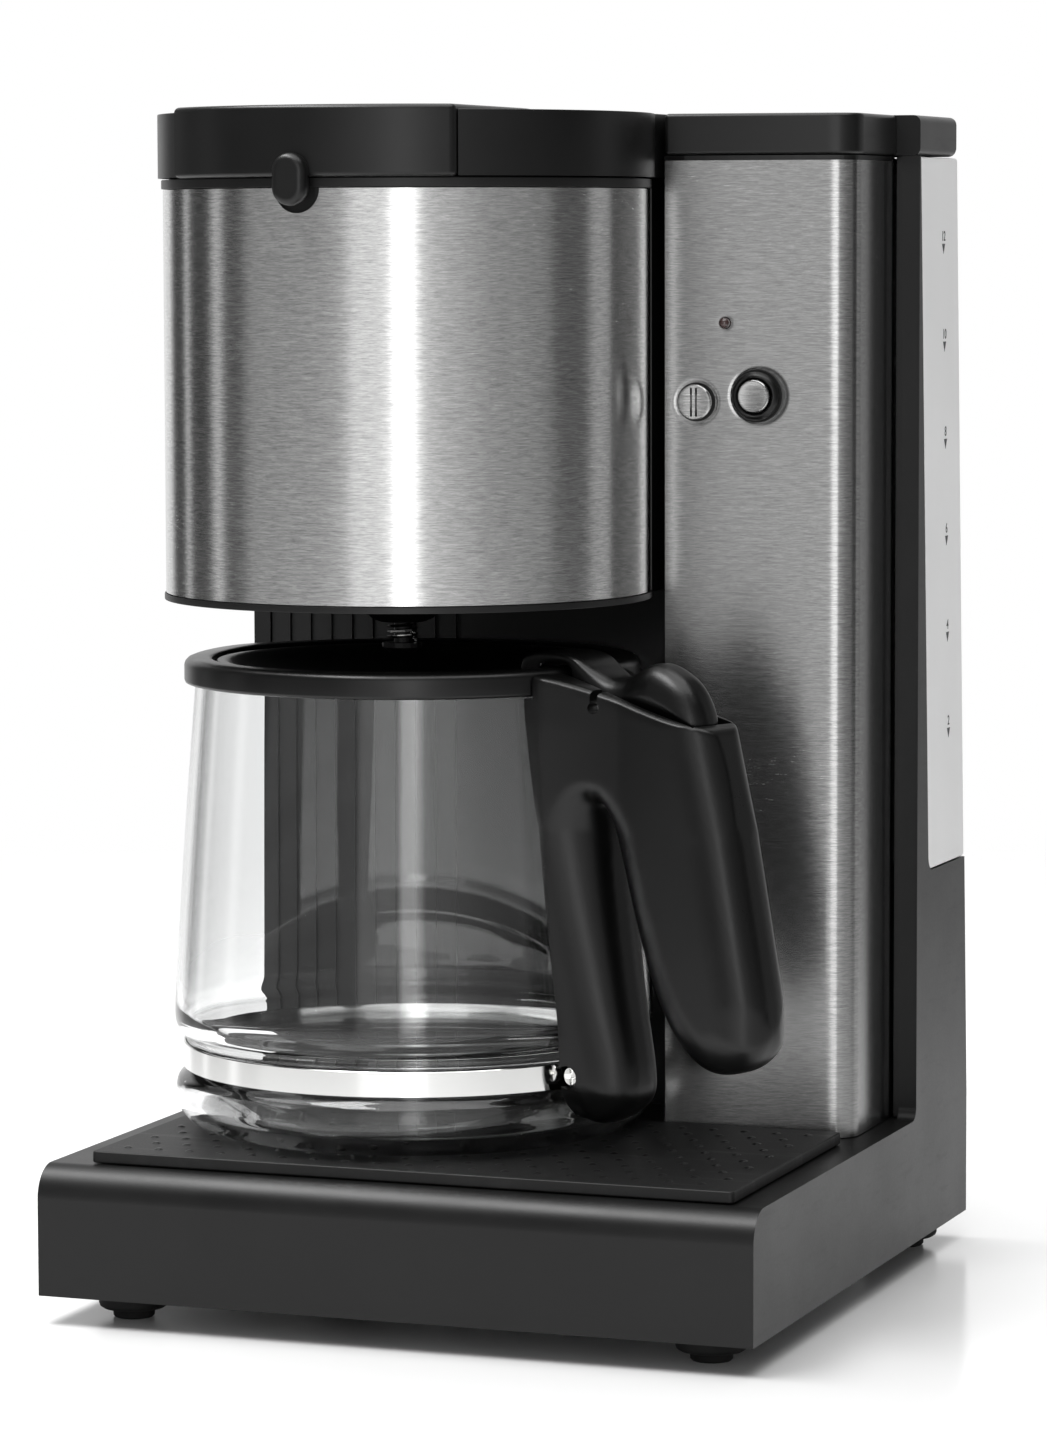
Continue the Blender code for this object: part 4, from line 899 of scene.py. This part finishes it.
def make_controls():
    front = TOWER_FRONT
    (bx, bz), (kx, kz), (lx, lz) = BUTTON, KNOB, LAMP
    radius = BEZEL_RADIUS
    ring = [(5.5, front + 1.5), (5.5, front - 0.3), (5.8, front - 0.8), (6.3, front - 1.1), (6.9, front - 0.9),
            (7.4, front - 0.2), (7.6, front + 0.6), (7.6, front + 1.9), (radius, front + 1.9), (radius, front + 8),
            (5.5, front + 8)]
    fit(raw("button_ring", lathe(ring, bx, bz, 72, "y")), "machine", "satin_black", "button_bezel", material=LID_BLACK,
        angle=40)
    cap = [(0, front - 1.45), (3.4, front - 1.5), (4.3, front - 1.8), (4.8, front - 1.8), (5.1, front - 1.5),
           (5.2, front - 1.0), (5.2, front + 8.3), (6.8, front + 8.3), (6.8, front + 9.8), (0, front + 9.8)]
    fit(raw("button_cap", lathe(cap, bx, bz, 72, "y")), "power_button", "brushed_steel",
        "power_button", material=KNOB_STEEL, angle=40)
    dial = [(0, front - 1.6), (4.6, front - 1.6), (5.2, front - 1.5), (5.5, front - 1.1), (5.5, front - 0.2),
            (2.5, front - 0.2), (2.5, front + 11), (0, front + 11)]
    knob = worked("selector_dial", lathe(dial, kx, kz, 72, "y"),
                  ("cut", block(kx - 1.15, kx - 0.5, front - 4, front + 1.4, kz - 4.5, kz + 4.5)),
                  ("cut", block(kx + 0.5, kx + 1.15, front - 4, front + 1.4, kz - 4.5, kz + 4.5)))
    fit(knob, "selector_knob", "brushed_steel", "selector_knob", material=KNOB_STEEL, angle=35)
    lens = [(0, front - 0.35), (0.8, front - 0.2), (1.4, front + 0.3), (1.7, front + 0.9), (1.7, front + 8),
            (0, front + 8)]
    fit(raw("lamp_dome", lathe(lens, lx, lz, 32, "y")), "machine", "lamp_red", "lamp_lens",
        angle=60)


# ---------------- carafe

CARAFE_RADIUS = 75.6
MOUTH_RADIUS = 67.8
MOUTH = GLASS_HIGH.z
WALL_GLASS = 2.4
WAIST = STRAP_HIGH.x - CARAFE_X - 0.95
COLLAR_RADIUS = 71.6
COLLAR_BORE = 62.5


def glass_radius(z):
    share = (z - 80.0) / (MOUTH - 80.0)
    return CARAFE_RADIUS - (CARAFE_RADIUS - MOUTH_RADIUS) * share ** 1.15 if share > 0 else CARAFE_RADIUS


def handle_spot(reach, side, height):
    x = CARAFE_X + reach * cos(HANDLE_ANGLE) + side * sin(HANDLE_ANGLE)
    y = CARAFE_Y + reach * sin(HANDLE_ANGLE) - side * cos(HANDLE_ANGLE)
    return spot(x, y, height)


def handle_prism(points, half, centre=0.0):
    return prism(points, centre - half, centre + half, "handle")


def handle_rod(reach, height, radius, side0, side1, steps=40):
    circle = arc(reach, height, radius, 0, 360 * (steps - 1) / steps, steps - 1)
    return handle_prism(circle, (side1 - side0) / 2, (side0 + side1) / 2)


def make_glass():
    low = GLASS_LOW.z
    outer = [(40, low + 1.6), (52, low + 1.2), (58, low + 0.1), (63, low + 0.1), (68, low + 1.2), (72.6, low + 4),
             (75.0, low + 8), (75.4, low + 12), (74.6, low + 15.6), (72.6, low + 18.0), (WAIST, low + 20),
             (WAIST, low + 27.4), (72.7, low + 29.6), (74.4, low + 31.4), (75.4, low + 34.2)]
    outer += [(glass_radius(z), z) for z in (84, 94, 105, 118, 130, 143, 155, 166, 176)]
    outer.append((glass_radius(MOUTH - 1), MOUTH - 1))
    inner = [(glass_radius(z) - WALL_GLASS, z) for z in (MOUTH - 1, 170, 155, 136, 120, 100, 86)]
    inner += [(75.0 - WALL_GLASS, low + 36), (72.2 - WALL_GLASS, low + 30.5), (WAIST - WALL_GLASS, low + 27),
              (WAIST - WALL_GLASS, low + 20.6), (71.4 - WALL_GLASS, low + 17.2), (71.8 - WALL_GLASS, low + 12),
              (68.5, low + 7.6), (64, low + 4.8), (56, low + 3.8), (40, low + 4.0)]
    outer_line = [(0, low + 1.6), (20, low + 1.6)] + curved(outer, 5, closed=False)
    inner_line = curved(inner, 5, closed=False) + [(20, low + 4.2), (0, low + 4.2)]
    lip = [(MOUTH_RADIUS - 0.7, MOUTH - 0.15), (MOUTH_RADIUS - 1.2, MOUTH), (MOUTH_RADIUS - 1.8, MOUTH - 0.15)]
    body = raw("carafe_body", lathe(outer_line + lip + inner_line, CARAFE_X, CARAFE_Y, 144))
    fit(body, "carafe", "clear_glass", "carafe_glass", angle=60, even=False)


def make_collar():
    rim = glass_radius(COLLAR_LOW.z) + 0.5
    low, top = COLLAR_LOW.z, COLLAR_HIGH.z
    profile = [(rim, low), (COLLAR_RADIUS - 1.0, low), (COLLAR_RADIUS - 0.3, low + 0.3), (COLLAR_RADIUS, low + 1.1),
               (COLLAR_RADIUS, top - 2.4), (COLLAR_RADIUS - 0.3, top - 1.4), (COLLAR_RADIUS - 1.1, top - 0.5),
               (COLLAR_RADIUS - 2.4, top), (COLLAR_BORE + 2.0, top), (COLLAR_BORE + 0.6, top - 0.4),
               (COLLAR_BORE, top - 1.4), (COLLAR_BORE, top - 4.6), (MOUTH_RADIUS - WALL_GLASS - 0.5, top - 4.8),
               (MOUTH_RADIUS - WALL_GLASS - 0.4, MOUTH + 0.4), (rim, MOUTH + 0.4)]
    mesh = lathe(profile, CARAFE_X, CARAFE_Y, 144)
    centre = spot(CARAFE_X, CARAFE_Y, 0)
    spout = HANDLE_ANGLE + pi
    for vert in mesh.verts:
        away = Vector((vert.co.x - centre.x, vert.co.y - centre.y))
        turn = atan2(away.y, away.x) - spout
        turn = atan2(sin(turn), cos(turn))
        if (vert.co.z - FLOOR) / MM > MOUTH + 0.5 or away.length > (rim + 0.3) * MM:
            push = away.normalized() * 3.0 * MM * exp(-(turn / 0.3) ** 2)
            vert.co.x += push.x
            vert.co.y += push.y
    fit(raw("carafe_rim", mesh), "carafe", "satin_black", "carafe_collar", material=GRIP_BLACK, angle=50)


def pillow(outline, full, half, soften, step=0.7):
    """A slab in the handle's plane. half() gives half its thickness at a place, full at most unless it flares,
    and soften() how deep and how far in its edges are rounded."""
    a = np.array(outline)
    span = np.roll(a, -1, 0) - a
    low, high = a.min(0) - step, a.max(0) + 2 * step
    s, z = np.meshgrid(np.arange(low[0], high[0], step), np.arange(low[1], high[1], step), indexing="ij")
    spots = np.stack([s, z], -1)
    share = ((spots[..., None, :] - a) * span).sum(-1) / (span ** 2).sum(-1)
    nearest = a + np.clip(share, 0, 1)[..., None] * span
    away = np.linalg.norm(spots[..., None, :] - nearest, axis=-1)
    best = away.argmin(-1)
    away = away.min(-1)
    nearest = np.take_along_axis(nearest, best[..., None, None], 2)[:, :, 0]
    z0, z1 = a[:, 1], a[:, 1] + span[:, 1]
    with np.errstate(divide="ignore", invalid="ignore"):
        cross = a[:, 0] + span[:, 0] * (z[..., None] - z0) / (z1 - z0)
    crossed = ((z0 > z[..., None]) != (z1 > z[..., None])) & (s[..., None] < cross)
    within = crossed.sum(-1) % 2 == 1
    mesh = bmesh.new()
    verts = {}

    def corner(i, j, side):
        if (i, j, side) not in verts:
            reach, height = spots[i, j] if within[i, j] else nearest[i, j]
            depth = away[i, j] if within[i, j] else 0.0
            deep, across = soften(reach, height)
            short = 1.0 - min(depth, across) / across
            edge = full - deep * (1.0 - sqrt(max(0.0, 1.0 - short * short)))
            thick = max(0.8, min(half(reach, height), edge * max(1.0, half(reach, height) / full)))
            verts[(i, j, side)] = mesh.verts.new(handle_spot(reach, side * thick, height))
        return verts[(i, j, side)]

    cells = within[:-1, :-1] | within[1:, :-1] | within[:-1, 1:] | within[1:, 1:]
    for i, j in zip(*np.nonzero(cells)):
        around = ((i, j), (i + 1, j), (i + 1, j + 1), (i, j + 1))
        for side in (1, -1):
            mesh.faces.new([corner(u, v, side) for u, v in around])
        for k, (du, dv) in enumerate(((0, -1), (1, 0), (0, 1), (-1, 0))):
            if not cells[i + du, j + dv]:
                (u0, v0), (u1, v1) = around[k], around[(k + 1) % 4]
                mesh.faces.new([corner(u0, v0, 1), corner(u1, v1, 1), corner(u1, v1, -1), corner(u0, v0, -1)])
    return mesh


def make_handle():
    outline = [(62.0, 55.0), (77.0, 54.0), (84.0, 53.5), (94.0, 60.0), (95.4, 70.0), (91.0, 93.0), (86.5, 122.0),
               (84.3, 146.0), (85.2, 152.5), (88.0, 150.0), (91.0, 139.0), (97.0, 118.0), (103.5, 99.5),
               (110.5, 86.0), (119.0, 77.0), (128.0, 73.2), (138.5, 75.5), (145.6, 83.0), (145.6, 93.8),
               (141.3, 116.7), (133.8, 152.9), (128.8, 172.0), (126.4, 176.4), (120.0, 178.2), (104.0, 182.0),
               (84.7, 187.6), (72.0, 190.8), (62.0, 192.0), (60.0, 186.0), (60.0, 120.0), (60.0, 60.0)]
    pocket = [(60.0, 178.2), (84.0, 174.0), (96.0, 171.0), (122.6, 165.0), (122.6, 200.0), (60.0, 200.0)]
    high = COLLAR_HIGH.z + 4
    against = [(0, 40), (CARAFE_RADIUS + 0.6, 40), (CARAFE_RADIUS + 0.6, 84)]
    against += [(glass_radius(z) + 0.6, z) for z in (100, 120, 140, 160, COLLAR_LOW.z - 0.6)]
    against += [(COLLAR_RADIUS + 0.6, COLLAR_LOW.z - 0.6), (COLLAR_RADIUS + 0.6, high), (0, high)]

    def thickness(reach, height):
        wide = 15.0 + 6.0 * min(1.0, max(0.0, (height - 56.0) / 120.0))
        near = GRIP_HALF + (wide - GRIP_HALF) * min(1.0, max(0.0, (96.0 - reach) / 24.0)) ** 1.3
        outer = min(146.0, 129.2 + (172.0 - height) * 0.262)
        past = min(1.0, max(0.0, (reach - outer + 14.0) / 14.4))
        return near * sqrt(1.0 - past * past)

    def softness(reach, height):
        share = min(1.0, max(0.0, (174.0 - height) / 30.0)) ** 1.2
        return 1.6 + 8.8 * share, 1.6 + 12.0 * share

    handle = worked("hook_handle", pillow(curved(outline, 6), GRIP_HALF, thickness, softness),
                    ("voxel", 0.7), ("relax", 10), ("cut", lathe(against, CARAFE_X, CARAFE_Y, 96)),
                    ("cut", handle_prism(pocket, LEVER_HALF + 0.5)),
                    ("cut", handle_rod(*LID_PIN, 1.75, -LEVER_HALF - 0.5, 16)),
                    ("cut", handle_prism([(86.9, 182.0), (89.1, 182.0), (89.1, 192.0), (86.9, 192.0)], 5, 12)),
                    ("cut", handle_rod(*STRAP_SCREW, 3.6, 11.2, 20)))
    fit(handle, "carafe", "satin_black", "carafe_handle", material=GRIP_BLACK, angle=50, even=False)
    head = [("cut", handle_prism([(76.3, 65.9), (77.5, 65.9), (77.5, 70.5), (76.3, 70.5)], 2, 13.4)),
            ("cut", handle_prism([(74.6, 67.6), (79.2, 67.6), (79.2, 68.8), (74.6, 68.8)], 2, 13.4))]
    screw = worked("handle_screw", handle_rod(*STRAP_SCREW, 3.1, 10.0, 12.6), ("bevel", 0.5, 3, 50), *head)
    fit(screw, "carafe", "polished_steel", "strap_screw")


def make_strap():
    low, high = STRAP_LOW.z, STRAP_HIGH.z
    inner, outer = WAIST + 0.25, WAIST + 0.95
    profile = [(inner, low), (outer - 0.2, low), (outer, low + 0.25), (outer, high - 0.25), (outer - 0.2, high),
               (inner, high)]
    strap = raw("glass_strap", lathe(profile, CARAFE_X, CARAFE_Y, 144))
    fit(strap, "carafe", "polished_steel", "carafe_strap")


def make_carafe_lid():
    radius = COLLAR_BORE - 1.0
    top = COLLAR_HIGH.z
    disc = [(4.0, top - 9.5), (radius - 12, top - 8.6), (radius - 4, top - 4.4), (radius - 0.8, top - 4.0),
            (radius, top - 3.4), (radius, top - 1.4), (radius - 0.4, top - 1.0), (radius - 2.6, top - 1.0),
            (radius - 4.0, top - 1.6), (radius - 7, top - 3.0), (radius - 14, top - 6.6), (5.0, top - 7.6),
            (4.0, top - 8.0)]
    lever = [(53.0, top - 6.0), (56.0, top - 5.0), (radius - 0.3, top - 3.0), (radius + 1.0, top + 0.7),
             (COLLAR_RADIUS + 1.5, top + 0.7), (COLLAR_RADIUS + 3.0, 184.0), (82.5, 179.6), (88.0, 177.6),
             (93.0, 178.6), (100.0, 178.0), (118.0, 174.5), (121.5, 176.5), (120.6, 182.0), (116.6, 188.6),
             (111.0, 192.8), (104.0, 195.2), (98.0, 193.6), (92.0, 190.4), (87.0, 189.8), (80.0, 192.9),
             (74.0, 196.1), (66.0, 197.3), (58.0, 196.6), (54.0, 194.6), (53.0, 190.0)]

    def softness(reach, height):
        share = min(1.0, max(0.0, (reach - 76.0) / 18.0))
        return 0.8 + 6.6 * share, 1.0 + 10.0 * share

    thumb = worked("thumb_lever", pillow(curved(lever, 6), LEVER_HALF, lambda reach, height: LEVER_HALF, softness, 0.6),
                   ("voxel", 0.6), ("relax", 7), ("cut", handle_rod(*LID_PIN, 1.7, -15, 15)))
    plate = raw("lid_plate", lathe(disc, CARAFE_X, CARAFE_Y, 120))
    fit(merged("carafe_cover", thumb, plate), "carafe_lid", "satin_black", "carafe_lid", material=GRIP_BLACK,
        angle=45, even=False)


# ---------------- studio


def studio_world():
    """A white studio whose brightness round the room gives the steel its light and dark bands."""
    world = bpy.data.worlds.new("studio")
    world.use_nodes = True
    bpy.context.scene.world = world
    graph = Graph(world.node_tree)
    world.node_tree.nodes.clear()
    way = graph.node("ShaderNodeTexCoord")["Generated"]
    toward = (sin(CAMERA_YAW), -cos(CAMERA_YAW), 0)
    aside = (cos(CAMERA_YAW), sin(CAMERA_YAW), 0)
    ahead = graph.vector("DOT_PRODUCT", way, toward)
    across = graph.vector("DOT_PRODUCT", way, aside)
    angle = graph.node("ShaderNodeMath", {"operation": "ARCTAN2"}, {0: across, 1: ahead})[0]
    share = angle / (2 * pi) + 0.5
    height = graph.node("ShaderNodeSeparateXYZ", None, {"Vector": way})["Z"]
    calm = height.between(0.25, 0.6, 1.0, 0.35)
    bands = ((-180, 1.0), (-150, 0.9), (-143, 0.06), (-130, 0.05), (-126, 1.0), (-122, 0.05), (-106, 0.05),
             (-100, 0.9), (-94, 0.06), (-84, 0.08), (-78, 0.34), (-40, 0.36), (-28, 0.5), (-25, 1.05), (-7, 1.0),
             (-4, 3.3), (2, 3.3), (7, 0.8), (40, 0.36), (70, 0.26), (76, 0.09), (94, 0.09), (100, 0.45),
             (134, 0.34), (146, 0.42), (158, 1.0), (180, 1.0))
    stops = [((a + 180) / 360, (v, v, v)) for a, v in bands]
    level = graph.node("ShaderNodeValToRGB", {"stops": stops}, {"Fac": share})[0]
    seen = graph.node("ShaderNodeLightPath")["Is Camera Ray"]
    colour = graph.mix(seen, level, (1.0, 1.0, 1.0))
    strength = seen + (1 - seen) * calm
    back = graph.node("ShaderNodeBackground", None, {"Color": colour, "Strength": strength})
    graph.node("ShaderNodeOutputWorld", None, {"Surface": back[0]})


def area_light(name, place, target, size, power):
    data = bpy.data.lights.new(name, "AREA")
    data.shape = "RECTANGLE"
    data.size, data.size_y = size
    data.energy = power
    light = linked(bpy.data.objects.new(name, data))
    aim = Vector(target) - Vector(place)
    light.matrix_world = Matrix.Translation(place) @ aim.to_track_quat("-Z", "Y").to_matrix().to_4x4()


def make_studio():
    camera = linked(bpy.data.objects.new("camera", bpy.data.cameras.new("camera")))
    camera.data.lens = CAMERA_LENS
    camera.data.sensor_width = 36.0
    camera.data.clip_end = 100.0
    camera.matrix_world = (Matrix.Translation(spot(*CAMERA_PLACE)) @ Matrix.Rotation(CAMERA_YAW, 4, "Z")
                           @ Matrix.Rotation(CAMERA_TILT, 4, "X") @ Matrix.Rotation(CAMERA_ROLL, 4, "Z"))
    bpy.context.scene.camera = camera
    bpy.context.scene.view_settings.view_transform = "Standard"
    studio_world()
    area_light("overhead softbox", (-0.1, -0.1, 1.9), (0, 0, 0), (2.6, 2.2), 52.0)
    area_light("overhead strip", (-0.55, -0.35, 1.5), (0, 0, 0.1), (1.3, 0.35), 16.0)
    mesh = bmesh.new()
    bmesh.ops.create_circle(mesh, cap_ends=True, segments=96, radius=1.3)
    floor = raw("floor", mesh, tidy=False)
    look = Finish("white floor", (0.93, 0.93, 0.93), 0.16, Specular_IOR_Level=0.3)
    look.feed("Roughness", 0.12 + look.noise(look.mapped(), 9.0, 3.0) * 0.08)
    away = look.vector("LENGTH", look.mapped())
    look.feed("Alpha", away.between(0.45, 1.2, 1.0, 0.0))
    floor.data.materials.append(look.material)


for make in (make_base, make_feet, make_underside, make_tower, make_seal, make_rear, make_window, make_drum,
             make_covers, make_flap, make_tank_cap, make_controls, make_glass, make_collar, make_handle,
             make_strap, make_carafe_lid, make_studio):
    make()

SLOT_OF = {part["node"]: part["material_slot"] for part in frame["record"]["subparts"]}
for name, node in frame["nodes"].items():
    coat = WALL_BLACK if name in ("rear_housing", "head_housing") else FINISH[SLOT_OF[name]]
    for slot in node.material_slots:
        slot.material = coat
